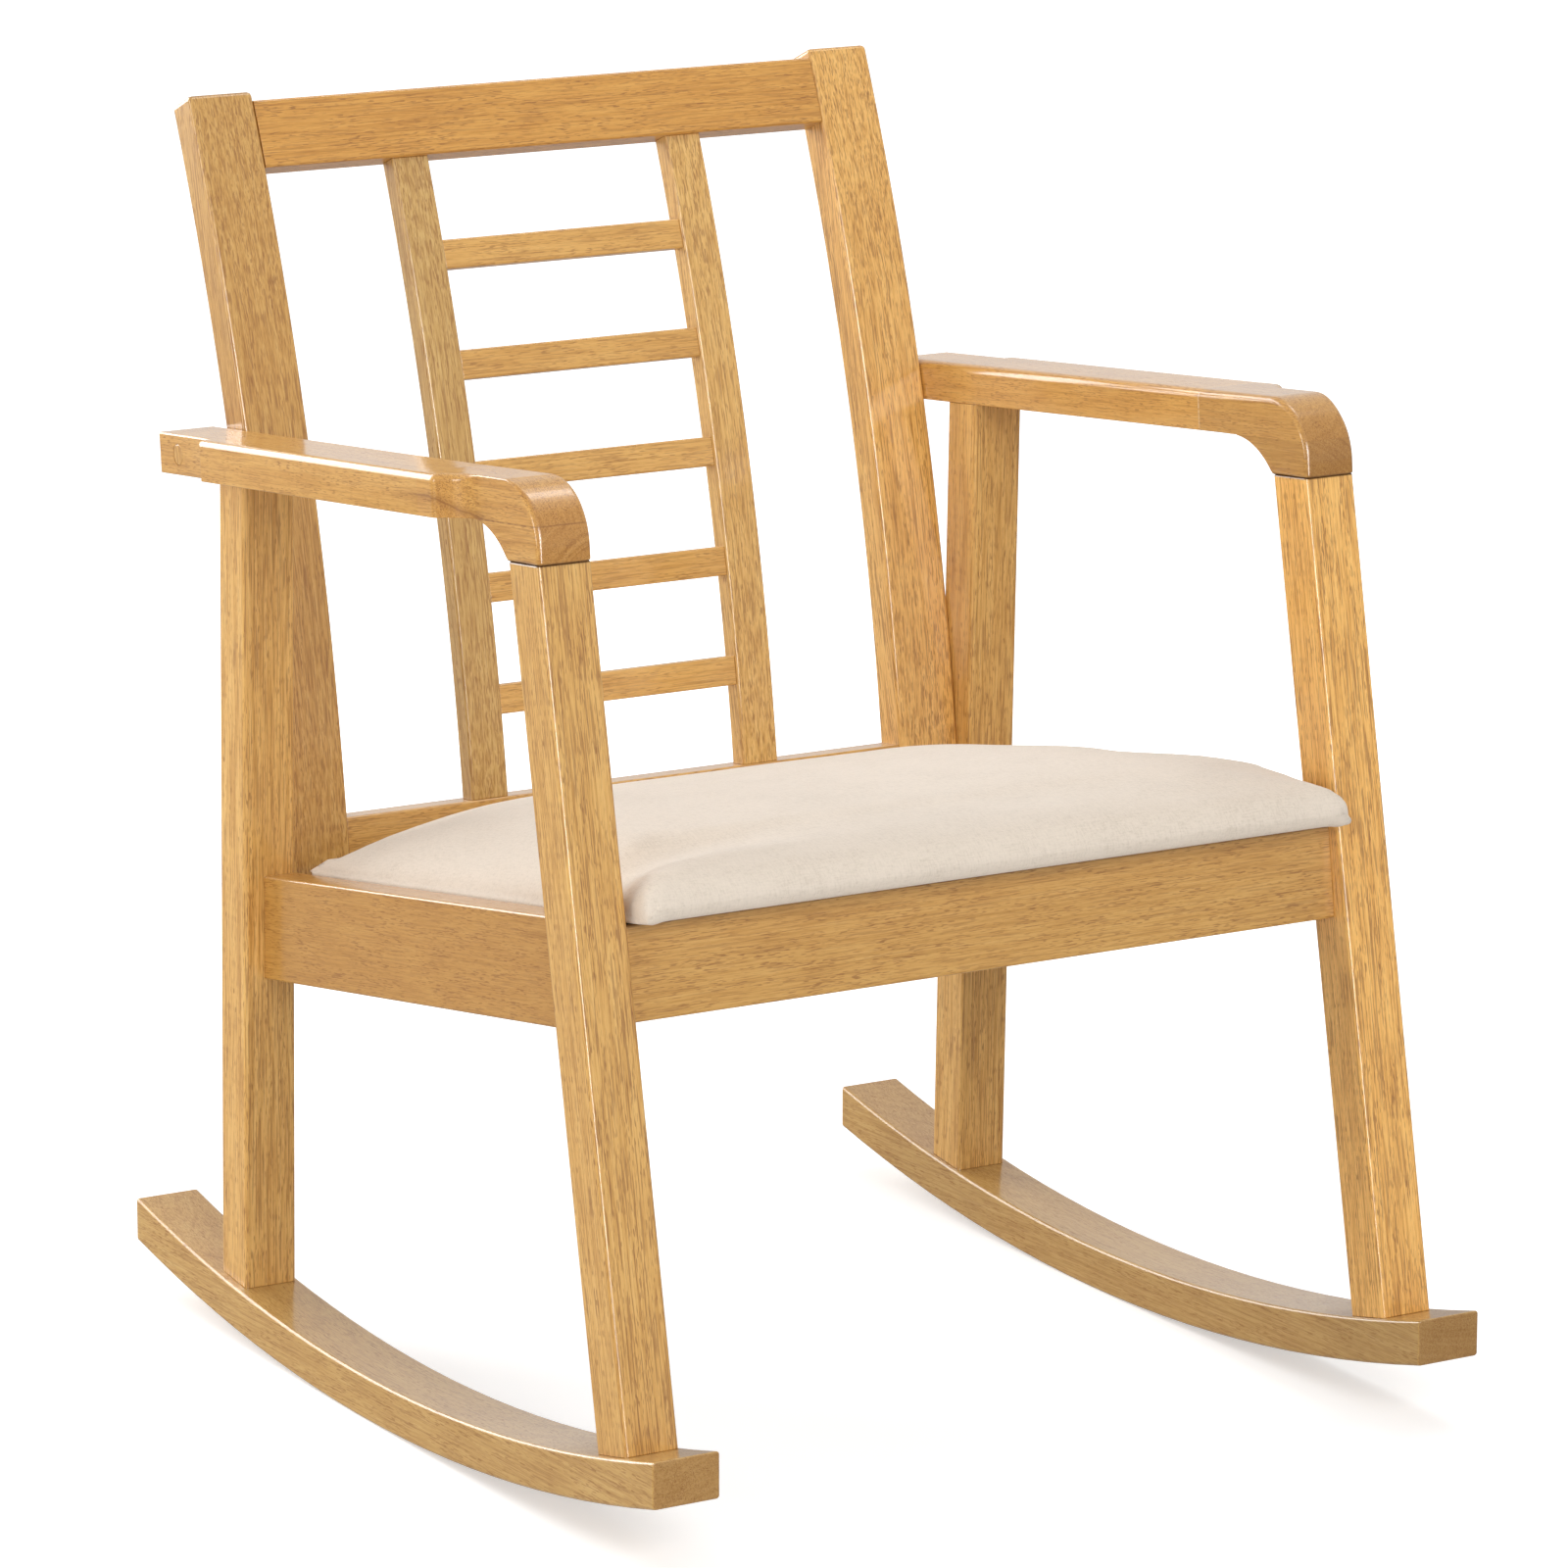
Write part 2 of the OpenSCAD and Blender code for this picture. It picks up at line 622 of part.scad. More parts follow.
module board_form() {
    half = cushion_half_x - cloth - board_gap.x;
    front = cushion_v[0] + board_front;
    back = cushion_v[1] - cloth - board_gap.y;
    low = cloth - seat_drop;
    top = low + board_t;
    intersection() {
        side_plate(-half, half) polygon([
            [front, low],
            [back, low],
            [back, low + board_edge],
            [back - board_slope.y, top],
            [front, top]
        ]);
        translate([0, back, 0]) rotate([90, 0, 0]) linear_extrude(back - front) polygon([
            [-half, low],
            [half, low],
            [half, low + board_edge],
            [half - board_slope.x, top],
            [board_slope.x - half, top],
            [-half, low + board_edge]
        ]);
        translate([0, 0, low]) linear_extrude(board_t) polygon([
            [-half, front],
            [half, front],
            [half, back - board_cut],
            [half - board_cut, back],
            [board_cut - half, back],
            [-half, back - board_cut]
        ]);
    }
}
module seat_board() {
    color("tan") difference() {
        seat_frame() board_form();
        both() at_seat_screws() screw_bore(28);
    }
}
module seat_foam() {
    color("ivory") seat_frame() difference() {
        intersection() {
            pillow(cloth + 0.2, cloth - seat_drop);
            translate([-far / 2, -far / 2, cloth - seat_drop + board_edge]) cube([far, far, far]);
        }
        board_form();
    }
}
// a plate inside the turned-in edge of the cover
module turned_in(edge, low, t) {
    front = cushion_v[0] + edge + board_front;
    translate([edge - cushion_half_x, front, low])
        cube([2 * (cushion_half_x - edge), cushion_v[1] - edge - front, t]);
}
module seat_cover() {
    color(linen) seat_frame() difference() {
        pillow(0, -seat_drop);
        pillow(cloth, cloth - seat_drop);
        turned_in(turn_in, -seat_drop - 1, cloth + 2);
    }
}
module dust_cover() {
    sheet = 0.6;
    color("dimgray") seat_frame() turned_in(turn_in + 1, cloth - seat_drop - sheet, sheet);
}
module seat_cleat() {
    color(wood) difference() {
        seat_frame() translate([in_x - cleat_size, cleat_v[0], -seat_drop - cleat_size])
            cube([cleat_size, cleat_v[1] - cleat_v[0], cleat_size]);
        at_cleat_screws() screw_bore(35);
        at_seat_screws() screw_bore(30);
    }
}
module corner_block() {
    color(wood) difference() {
        seat_frame() translate([in_x, rail_back_v, -seat_drop - block_t]) linear_extrude(block_t)
            polygon([
                [0, 0],
                [0, block_leg],
                [-block_end, block_leg],
                [-block_leg, block_end],
                [-block_leg, 0]
            ]);
        at_block_screws() screw_bore(34);
    }
}

// ---- fasteners ----
module frame_dowels() {
    color("wheat") both() {
        foot_pegs(foot_dowel_d, 48);
        rail_pegs(dowel_d, 40);
    }
}
module arm_dowels() {
    color("wheat") both() {
        arm_pegs(dowel_d, 0);
        seam_pegs(dowel_d, 40);
    }
}
module front_rail_dowels() {
    color("wheat") both() front_rail_pegs(dowel_d, 40);
}
module back_dowels() {
    color("wheat") both() {
        post_pegs(dowel_d, 40);
        stile_pegs(6, 36);
    }
}
module arm_bolts() {
    color(steel) both() at_arm_bolt() bolt(arm_head_x, arm_bolt_l, -1);
}
module arm_plugs() {
    color(wood) both() at_arm_bolt()
        translate([in_x + tail_w - plug_l, 0, 0]) rotate([0, 90, 0]) cylinder(d = plug_d, h = plug_l);
}
module post_bolts() {
    color(steel) both() at_post_bolts() bolt(post_head_x, post_bolt_l, 1);
}
module threaded_inserts() {
    color(steel) both() {
        at_arm_bolt() insert_body(in_x, -1);
        at_post_bolts() insert_body(in_x, 1);
    }
}
module cleat_screws() {
    color(steel) both() at_cleat_screws() screw(35);
}
module seat_screws() {
    color(steel) both() at_seat_screws() screw(28);
}
module block_screws() {
    color(steel) both() at_block_screws() screw(34);
}

place() left() rocker();  // rocker_left
place() rocker();  // rocker_right
place() left() front_leg();  // front_leg_left
place() front_leg();  // front_leg_right
place() left() rear_leg();  // rear_leg_left
place() rear_leg();  // rear_leg_right
place() left() side_rail();  // side_rail_left
place() side_rail();  // side_rail_right
place() left() arm();  // arm_left
place() arm();  // arm_right
place() left() arm_nose();  // arm_nose_left
place() arm_nose();  // arm_nose_right
place() left() elbow_block();  // elbow_block_left
place() elbow_block();  // elbow_block_right
place() front_rail();
place() left() back_post();  // back_post_left
place() back_post();  // back_post_right
place() top_rail();
place() rear_rail();
place() left() back_stile();  // back_stile_left
place() back_stile();  // back_stile_right
place() back_slat(0);  // back_slat_1
place() back_slat(1);  // back_slat_2
place() back_slat(2);  // back_slat_3
place() back_slat(3);  // back_slat_4
place() back_slat(4);  // back_slat_5
place() seat_board();
place() seat_foam();
place() seat_cover();
place() dust_cover();
place() left() seat_cleat();  // seat_cleat_left
place() seat_cleat();  // seat_cleat_right
place() left() corner_block();  // corner_block_left
place() corner_block();  // corner_block_right
place() frame_dowels();
place() arm_dowels();
place() front_rail_dowels();
place() back_dowels();
place() arm_bolts();
place() arm_plugs();
place() post_bolts();
place() threaded_inserts();
place() cleat_screws();
place() seat_screws();
place() block_screws();
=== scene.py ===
"""Rocking chair: rounded and grained boards, a linen cushion, its underside and a plain studio."""

import math
from collections import namedtuple

import bmesh
import bpy
from bpy.props import FloatProperty, FloatVectorProperty, PointerProperty
from mathutils import Matrix, Vector, noise
from mathutils.bvhtree import BVHTree


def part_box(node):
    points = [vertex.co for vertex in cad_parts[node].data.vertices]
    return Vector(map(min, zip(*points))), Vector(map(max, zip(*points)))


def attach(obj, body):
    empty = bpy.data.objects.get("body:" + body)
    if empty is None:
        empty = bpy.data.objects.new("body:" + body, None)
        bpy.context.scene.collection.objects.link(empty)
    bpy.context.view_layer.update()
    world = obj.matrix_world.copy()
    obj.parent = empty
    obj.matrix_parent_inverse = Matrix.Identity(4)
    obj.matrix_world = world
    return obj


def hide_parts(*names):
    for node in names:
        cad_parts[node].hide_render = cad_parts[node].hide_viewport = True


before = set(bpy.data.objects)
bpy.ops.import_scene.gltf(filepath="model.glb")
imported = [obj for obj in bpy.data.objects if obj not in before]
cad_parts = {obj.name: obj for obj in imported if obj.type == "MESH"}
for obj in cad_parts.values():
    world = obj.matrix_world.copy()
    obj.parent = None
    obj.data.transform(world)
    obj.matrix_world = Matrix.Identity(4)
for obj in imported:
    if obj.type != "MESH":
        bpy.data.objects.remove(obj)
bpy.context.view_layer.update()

bl_info = {
    "name": "Rocking chair",
    "version": (1, 0, 0),
    "blender": (4, 5, 0),
    "location": "3D View > Sidebar > Chair",
    "description": "Finishes the boards, cushion and fastenings of a rocking chair",
    "category": "Object",
}

BODY = "root"

# ---- where the seat and the arms lie, in metres ----
# The seat's and the arms' own frames have x across, v towards the back and w up. They slope
# down towards the back and start at these heights.
SHIFT = -0.009949                # where both frames start, along y
SEAT_H, SEAT_SLOPE = 0.378, math.radians(8.4)
ARM_H, ARM_SLOPE = 0.680, math.radians(5.35)
ARM_T = 0.029
ARM_X = (0.280, 0.320, 0.3375)   # inner face, outer face of the nose, outer face of the arm
ROLL_V, ROLL_R = -0.1707, 0.044  # where the nose starts to bend down, and its radius
ELBOW_DROP = 0.0542              # from the arm's top down to the front leg's
FRONT_LEAN, REAR_LEAN = math.radians(11), math.radians(1.7)
BACK_LEAN = math.radians(13.3)   # the back posts' chord
STILE_LEAN = math.radians(14.2)


def tilted(height, slope):
    """Matrix from a frame that slopes down towards the back to the chair's frame."""
    return Matrix.Translation((0, SHIFT, height)) @ Matrix.Rotation(-slope, 4, "X")


SEAT = tilted(SEAT_H, SEAT_SLOPE)
ARM = tilted(ARM_H, ARM_SLOPE)
ARM_BACK = ARM.inverted()

# ---- shader maths ----


class Socket:
    """One output socket. Arithmetic on a number adds Math nodes."""

    def __init__(self, graph, socket):
        self.graph, self.socket = graph, socket

    def _math(self, operation, *terms):
        return self.graph.value("ShaderNodeMath", {"operation": operation},
                                dict(enumerate(terms)))

    def __add__(self, other):
        return self._math("ADD", self, other)

    def __radd__(self, other):
        return self._math("ADD", other, self)

    def __sub__(self, other):
        return self._math("SUBTRACT", self, other)

    def __rsub__(self, other):
        return self._math("SUBTRACT", other, self)

    def __mul__(self, other):
        return self._math("MULTIPLY", self, other)

    def __rmul__(self, other):
        return self._math("MULTIPLY", other, self)

    def __abs__(self):
        return self._math("ABSOLUTE", self)

    def sine(self):
        return self._math("SINE", self)

    def larger(self, other):
        return self._math("MAXIMUM", self, other)


class Graph:
    """Adds nodes to one tree."""

    def __init__(self, tree):
        self.tree = tree

    def node(self, kind, settings=None, inputs=None):
        """A node of one kind: its settings first, then its sockets' values or links."""
        made = self.tree.nodes.new(kind)
        for name, value in (settings or {}).items():
            if name == "stops":
                ramp = made.color_ramp.elements
                while len(ramp) < len(value):
                    ramp.new(1.0)
                for stop, (place, colour) in zip(ramp, value):
                    stop.position, stop.color = place, (*colour, 1.0)
            else:
                setattr(made, name, value)
        for key, value in (inputs or {}).items():
            if isinstance(value, Socket):
                self.tree.links.new(value.socket, made.inputs[key])
            else:
                made.inputs[key].default_value = value
        return made

    def out(self, node, key=0):
        return Socket(self, node.outputs[key])

    def value(self, kind, settings=None, inputs=None, key=0):
        """One output of a new node."""
        return self.out(self.node(kind, settings, inputs), key)

    def parts(self, vector):
        """The x, y and z of a vector."""
        split = self.node("ShaderNodeSeparateXYZ", None, {0: vector})
        return [self.out(split, k) for k in range(3)]

    def vector_math(self, operation, a, b=(0, 0, 0), key="Vector"):
        return self.value("ShaderNodeVectorMath", {"operation": operation}, {0: a, 1: b}, key)

    def noise(self, place, cells, detail):
        """Noise with so many bumps per metre along x, y and z."""
        return self.value("ShaderNodeTexNoise", None, {
            "Vector": self.vector_math("MULTIPLY", place, cells), "Scale": 1.0,
            "Detail": detail, "Roughness": 0.5})

    def noise_line(self, value, detail=1.0):
        """Noise along one number."""
        return self.value("ShaderNodeTexNoise", {"noise_dimensions": "1D"}, {
            "W": value, "Scale": 1.0, "Detail": detail, "Roughness": 0.55})

    def step(self, value, low, high):
        """0 below low, 1 above high, and smooth in between."""
        return self.value("ShaderNodeMapRange", {"interpolation_type": "SMOOTHSTEP"},
                          {0: value, 1: low, 2: high})

    def near(self, value, core, edge):
        """1 where a value is close to 0, and 0 beyond edge."""
        return 1.0 - self.step(abs(value), core, edge)

    def mix(self, factor, a, b, blend="MIX"):
        """Blends two colours."""
        a, b = [c if isinstance(c, Socket) else (*c, 1.0) for c in (a, b)]
        return self.value("ShaderNodeMix", {"data_type": "RGBA", "blend_type": blend},
                          {0: factor, 6: a, 7: b}, 2)

    def ramp(self, factor, *stops):
        """A colour ramp of (place, colour) stops."""
        return self.value("ShaderNodeValToRGB", {"stops": stops}, {0: factor})

    def bump(self, height, distance, strength):
        return self.value("ShaderNodeBump", None, {
            "Strength": strength, "Distance": distance, "Height": height})


def new_material(name, **constants):
    """A material, its graph and its Principled shader, with the shader's constants set."""
    material = bpy.data.materials.new(name)
    material.use_nodes = True
    graph = Graph(material.node_tree)
    shader = material.node_tree.nodes["Principled BSDF"]
    for key, value in constants.items():
        shader.inputs[key.replace("_", " ").title().replace("Ior", "IOR")].default_value = value
    return material, graph, shader


def feed(graph, shader, **links):
    """Links varying values into the shader."""
    for key, value in links.items():
        graph.tree.links.new(value.socket, shader.inputs[key.replace("_", " ").title()])


def object_place(graph, location=(0, 0, 0), rotation=(0, 0, 0)):
    """Object coordinates, seen from a frame at location, turned by rotation."""
    place = graph.value("ShaderNodeTexCoord", key="Object")
    return graph.value("ShaderNodeMapping", {"vector_type": "TEXTURE"}, {
        "Vector": place, "Location": location, "Rotation": rotation})


def seat_place(graph):
    return object_place(graph, SEAT.translation, (-SEAT_SLOPE, 0, 0))


def arm_place(graph):
    return object_place(graph, ARM.translation, (-ARM_SLOPE, 0, 0))


def times(colour, gain):
    """A colour made darker or lighter."""
    return tuple(min(1.0, gain * c) for c in colour)


# ---- what a user would change ----


def colour(name, description, value):
    return FloatVectorProperty(name=name, description=description, default=value,
                               subtype="COLOR", min=0, max=1)


def length(name, description, value):
    return FloatProperty(name=name, description=description, default=value, min=0,
                         unit="LENGTH", subtype="DISTANCE", precision=4)


def strength(name, description, value):
    return FloatProperty(name=name, description=description, default=value)


def power(name, description, value):
    return FloatProperty(name=name, description=description, default=value, unit="POWER")


class ChairEdges(bpy.types.PropertyGroup):
    leg: length("Legs and posts", "Roundness of the long edges of legs and posts", 0.0028)
    rocker: length("Rockers", "Roundness of the long edges of the rockers", 0.0026)
    rail: length("Rails and stiles", "Roundness of the long edges of rails and stiles", 0.0020)
    slat: length("Slats", "Roundness of the slats' edges", 0.0015)
    arm_outer: length("Arm, outside", "Roundness of the arm's top edge on the outside", 0.0050)
    arm_inner: length("Arm, inside", "Roundness of the arm's top edge on the inside", 0.0065)
    neck: length("Arm's neck", "Roundness of the top edge where the arm narrows", 0.0010)
    arm_roll: length("Arm's bend", "Roundness of the edges round the bend", 0.0042)
    arm_under: length("Arm, underneath", "Roundness of the arm's lower edges", 0.0010)
    post_end: length("Post ends", "Roundness of the back posts' sawn ends", 0.0036)
    free_end: length("Free ends", "Roundness of sawn ends that nothing covers", 0.0016)
    groove: length("Groove under the elbow", "Bevel on both sides of the leg's top joint", 0.0020)
    butt: length("Joints", "Bevel round an end that meets another board", 0.0006)


class ChairColours(bpy.types.PropertyGroup):
    wood_dark: colour("Wood, dark", "Darkest tone of the grain", (0.47, 0.235, 0.054))
    wood_mid: colour("Wood, middle", "Usual tone of the grain", (0.655, 0.375, 0.109))
    wood_pale: colour("Wood, pale", "Palest tone of the grain", (0.75, 0.47, 0.160))
    pore: colour("Pores", "Fine dashes along the grain", (0.27, 0.105, 0.025))
    linen: colour("Linen", "Cover of the cushion", (0.755, 0.660, 0.555))
    linen_dark: colour("Linen, between threads", "Gaps and slubs in the cover", (0.62, 0.53, 0.43))
    dust_cloth: colour("Dust cloth", "Cloth under the seat", (0.035, 0.035, 0.038))
    beech: colour("Dowels", "Dowel wood", (0.62, 0.44, 0.26))
    zinc: colour("Screws", "Plated steel", (0.62, 0.63, 0.65))
    black_steel: colour("Bolts", "Darkened steel", (0.16, 0.16, 0.17))


class ChairCushion(bpy.types.PropertyGroup):
    crown: length("Crown", "Height of the cushion above the side rails", 0.0512)
    voxel: length("Mesh", "Size of the cushion's mesh cells", 0.0052)
    pressure: FloatProperty(name="Pressure", description="How hard the filling presses",
                            default=4.0, min=0)
    swell: length("Swell", "How far the cover may move as it fills", 0.0018)
    staple_gap: length("Staples", "Distance from staple to staple", 0.032)


class ChairStudio(bpy.types.PropertyGroup):
    lens: strength("Lens", "Focal length in millimetres", 167.67)
    ambient: strength("Room light", "Strength of the even light", 0.48)
    reflected: strength("Reflections", "Brightness of the reflected floor", 0.36)
    key: power("Key lamp", "Power of the tall lamp on the left", 50.0)
    fill: power("Fill lamp", "Power of the lamp in front", 84.0)
    top: power("Top lamp", "Power of the lamp overhead", 14.0)
    rear: power("Rear lamp", "Power of the lamp behind, on the left", 60.0)
    near: power("Near lamp", "Power of the small lamp over the seat", 7.0)
    gloss: power("Edge lamp", "Lamp in front that only shows in the gloss of rounded edges", 160.0)


# ---- the boards ----
# kind says how the board is made and rounded. tone is 1 and warmth 0 in usual wood. pith is the
# middle of the growth rings, in metres across and through the board. rings, streaks and pores
# say how strongly each of them shows.

Board = namedtuple("Board", "kind grain tone warmth pith rings streaks pores")


def lean(angle):
    return Vector((0, math.sin(angle), math.cos(angle)))


ALONG_X = Vector((1, 0, 0))
ALONG_ARM = Vector((0, math.cos(ARM_SLOPE), -math.sin(ARM_SLOPE)))
ALONG_SEAT = Vector((0, math.cos(SEAT_SLOPE), -math.sin(SEAT_SLOPE)))
ALONG_ROCKER = Vector((0, 1, -0.02)).normalized()

BOARDS = {name: Board(*values) for name, values in {
    "rocker_left": ("rocker", ALONG_ROCKER, 0.87, -0.3, (0.03, 0.16), 0.5, 0.5, 0.8),
    "rocker_right": ("rocker", ALONG_ROCKER, 0.76, -0.2, (-0.03, 0.20), 0.5, 0.5, 0.8),
    "front_leg_left": ("leg", lean(FRONT_LEAN), 1.07, 0.2, (0.12, 0.05), 0.6, 1.1, 1.0),
    "front_leg_right": ("leg", lean(FRONT_LEAN), 1.34, 0.6, (0.14, -0.04), 0.6, 1.1, 1.0),
    "rear_leg_left": ("leg", lean(-REAR_LEAN), 1.10, 0.2, (0.045, 0.02), 1.0, 1.0, 0.9),
    "rear_leg_right": ("leg", lean(-REAR_LEAN), 1.08, 0.3, (0.10, 0.05), 0.7, 1.0, 1.0),
    "side_rail_left": ("rail", ALONG_SEAT, 0.80, 1.4, (0.02, 0.14), 0.3, 0.5, 0.9),
    "side_rail_right": ("rail", ALONG_SEAT, 0.86, 1.0, (0.02, 0.16), 0.3, 0.5, 0.9),
    "arm_left": ("arm", ALONG_ARM, 0.97, 0.8, (0.10, -0.03), 0.5, 0.5, 0.9),
    "arm_right": ("arm", ALONG_ARM, 0.98, 1.0, (0.12, 0.03), 0.5, 0.5, 0.9),
    "arm_nose_left": ("nose", ALONG_ARM, 0.97, 1.1, (0.10, -0.03), 0.6, 0.6, 1.0),
    "arm_nose_right": ("nose", ALONG_ARM, 0.86, 1.1, (0.07, 0.10), 0.5, 0.6, 0.9),
    "elbow_block_left": ("block", ALONG_ARM, 0.95, 1.1, (-0.025, -0.03), 1.4, 0.6, 0.8),
    "elbow_block_right": ("block", ALONG_ARM, 0.78, 1.1, (0.06, -0.08), 0.7, 0.6, 0.8),
    "front_rail": ("rail", ALONG_X, 0.95, 0.5, (0.04, 0.15), 0.4, 0.6, 1.0),
    "back_post_left": ("leg", lean(BACK_LEAN), 0.89, 0.4, (0.15, 0.03), 0.5, 1.1, 0.9),
    "back_post_right": ("leg", lean(BACK_LEAN), 1.18, 0.3, (0.13, -0.02), 0.5, 1.1, 0.9),
    "top_rail": ("rail", ALONG_X, 0.96, 1.5, (0.03, 0.13), 0.5, 0.6, 1.0),
    "rear_rail": ("rail", ALONG_X, 0.95, 0.5, (0.03, 0.12), 0.4, 0.6, 0.9),
    "back_stile_left": ("rail", lean(STILE_LEAN), 0.90, -0.6, (0.11, 0.02), 0.5, 1.0, 0.9),
    "back_stile_right": ("rail", lean(STILE_LEAN), 1.08, -0.3, (0.12, -0.02), 0.5, 1.0, 0.9),
    "back_slat_1": ("slat", ALONG_X, 1.07, 0.3, (0.05, 0.08), 0.5, 0.6, 0.8),
    "back_slat_2": ("slat", ALONG_X, 1.04, 0.5, (0.04, 0.09), 0.5, 0.6, 0.8),
    "back_slat_3": ("slat", ALONG_X, 1.06, 0.3, (-0.05, 0.08), 0.5, 0.6, 0.8),
    "back_slat_4": ("slat", ALONG_X, 1.03, 0.5, (0.03, 0.07), 0.5, 0.6, 0.8),
    "back_slat_5": ("slat", ALONG_X, 1.06, 0.4, (-0.04, 0.09), 0.5, 0.6, 0.8),
    "seat_cleat_left": ("hidden", ALONG_SEAT, 0.95, 0.0, (0.05, 0.10), 0.5, 0.9, 0.8),
    "seat_cleat_right": ("hidden", ALONG_SEAT, 0.97, 0.0, (0.05, 0.12), 0.5, 0.9, 0.8),
    "corner_block_left": ("hidden", ALONG_X, 0.95, 0.0, (0.05, 0.10), 0.5, 0.9, 0.8),
    "corner_block_right": ("hidden", ALONG_X, 0.97, 0.0, (0.05, 0.12), 0.5, 0.9, 0.8),
}.items()}
GRAIN_OF = {"arm_nose_left": "arm_left"}     # boards whose figure runs on from another's


def boards(*starts):
    """Names of the boards that start so, in the table's order."""
    return [name for name in BOARDS if name.startswith(starts)]


SIDE_FRAMES = boards("rocker", "front_leg", "rear_leg", "side_rail")
ARMS = boards("arm", "elbow")
BACK = boards("back", "top_rail", "rear_rail")
SEAT_FRAME = boards("front_rail", "seat_cleat", "corner")

BORE_SPAN = 0.0235               # a sharp outline smaller than this is a bore's rim
SHARP = math.radians(30)
FLAT = math.radians(0.3)         # faces that turn less than this are one face
MERGE = 1e-5
TOUCH = 0.0004                   # boards nearer than this meet
BEVEL_STEPS = 4
LEG_GROOVE = 0.6                 # the leg's bevel at the groove, as a share of the block's
LENGTHWISE, STEEP = 0.6, 0.7     # cosines: an edge that runs with the grain, a steep direction


def ease(value, low, high):
    """0 below low, 1 above high, and smooth in between."""
    t = min(1.0, max(0.0, (value - low) / (high - low)))
    return t * t * (3 - 2 * t)


def centre_of(node):
    low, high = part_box(node)
    return (low + high) / 2


def mesh_of(bm, name):
    mesh = bpy.data.meshes.new(name)
    bm.to_mesh(mesh)
    bm.free()
    return mesh


def new_piece(name, data):
    piece = bpy.data.objects.new(name, data)
    bpy.context.scene.collection.objects.link(piece)
    return piece


def join_faces(bm):
    """Merges a CAD node's loose triangles, and makes one face of each flat part."""
    bmesh.ops.remove_doubles(bm, verts=bm.verts, dist=MERGE)
    bmesh.ops.dissolve_limit(bm, angle_limit=FLAT, verts=bm.verts, edges=bm.edges)


def sharp_edges(bm):
    return [e for e in bm.edges if e.is_manifold and e.calc_face_angle(0) > SHARP]


def grain_turn(direction):
    """Rotation whose X axis is the grain."""
    side = Vector((0, 0, 1)) if abs(direction.z) < STEEP else Vector((0, 1, 0))
    y = side.cross(direction).normalized()
    z = direction.cross(y)
    return Matrix((direction, y, z)).transposed().to_euler()


def tree_of(node):
    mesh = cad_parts[node].data
    return BVHTree.FromPolygons([v.co.copy() for v in mesh.vertices],
                                [tuple(p.vertices) for p in mesh.polygons])


TREES = {node: (tree_of(node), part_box(node)) for node in BOARDS}


def touches(point, nodes):
    """Whether the surface of one of these boards is at this point."""
    for node in nodes:
        tree, (low, high) = TREES[node]
        if all(low[i] - TOUCH < point[i] < high[i] + TOUCH for i in range(3)):
            if tree.find_nearest(point, TOUCH)[0] is not None:
                return True
    return False


def outlines(edges):
    """Groups of sharp edges that join, each with the span of its box."""
    left, groups = set(edges), []
    while left:
        group, front = [], [left.pop()]
        while front:
            edge = front.pop()
            group.append(edge)
            for vert in edge.verts:
                for other in vert.link_edges:
                    if other in left:
                        left.remove(other)
                        front.append(other)
        points = [v.co for e in group for v in e.verts]
        span = max(max(p[i] for p in points) - min(p[i] for p in points) for i in range(3))
        groups.append((group, span))
    return groups


def direction_of(edge):
    return (edge.verts[1].co - edge.verts[0].co).normalized()


def arm_edge(edge, middle, edges):
    """Roundness of an edge of the arm's straight part."""
    x, _, w = ARM_BACK @ middle
    across = abs(direction_of(edge).x) > STEEP
    if touches(middle, boards("arm_nose")):
        return 0.0
    if w < -ARM_T + TOUCH:
        return edges.arm_under
    if w > -TOUCH and not across:
        if abs(x) < ARM_X[0] + TOUCH:
            return edges.arm_inner
        if abs(x) > ARM_X[2] - TOUCH:
            return edges.arm_outer
    return edges.free_end


def edge_radius(node, kind, grain, edge, edges):
    """How far one sharp edge of a board is rounded."""
    middle = (edge.verts[0].co + edge.verts[1].co) / 2
    if kind == "nose":
        return 0.0
    if kind == "block":
        return edges.groove if (ARM_BACK @ middle).z < TOUCH - ELBOW_DROP else 0.0
    if kind == "arm":
        return arm_edge(edge, middle, edges)
    if abs(direction_of(edge).dot(grain)) > LENGTHWISE:
        return edges.arm_under if kind == "hidden" else getattr(edges, kind)
    if touches(middle, boards("elbow")):
        return LEG_GROOVE * edges.groove
    if touches(middle, [n for n in BOARDS if n != node]):
        return edges.butt
    if node.startswith("back_post"):
        return edges.post_end
    return edges.slat if kind == "slat" else edges.free_end


# ---- the elbow: a rounded strip swept along the arm's top and round its bend ----

NECK = (0.0225, 0.0575)          # where the arm narrows, in front of the seam
NECK_ROUND = 0.008               # radius of the corner where it begins to narrow
HOLLOW_V, HOLLOW_R = -0.12363, 0.060
HOLLOW_TIP = math.radians(5.7)   # the block stops short of the hollow's thin edge
HAIR = 0.00015                   # radius of an edge that only looks sharp
NECK_INSIDE = 0.005              # roundness of the inner edge beside the neck
NECK_POINTS = (0.35, 0.65, 0.85, 1.0)        # stations on the slim part, as shares of it
# Stretches over which the roundness changes, from the seam forward or round the bend.
FADES = {"inside": (0.010, 0.060), "underside": (0.025, 0.040),
         "outer roll": (0.004, 0.034), "inner roll": (0.0, 0.030)}
ARC_STEPS, NECK_STEPS, ROLL_STEPS = 8, 14, 36
NARROW = 1e-6                    # points nearer than this are one point


def blend(a, b, share):
    return a + (b - a) * share


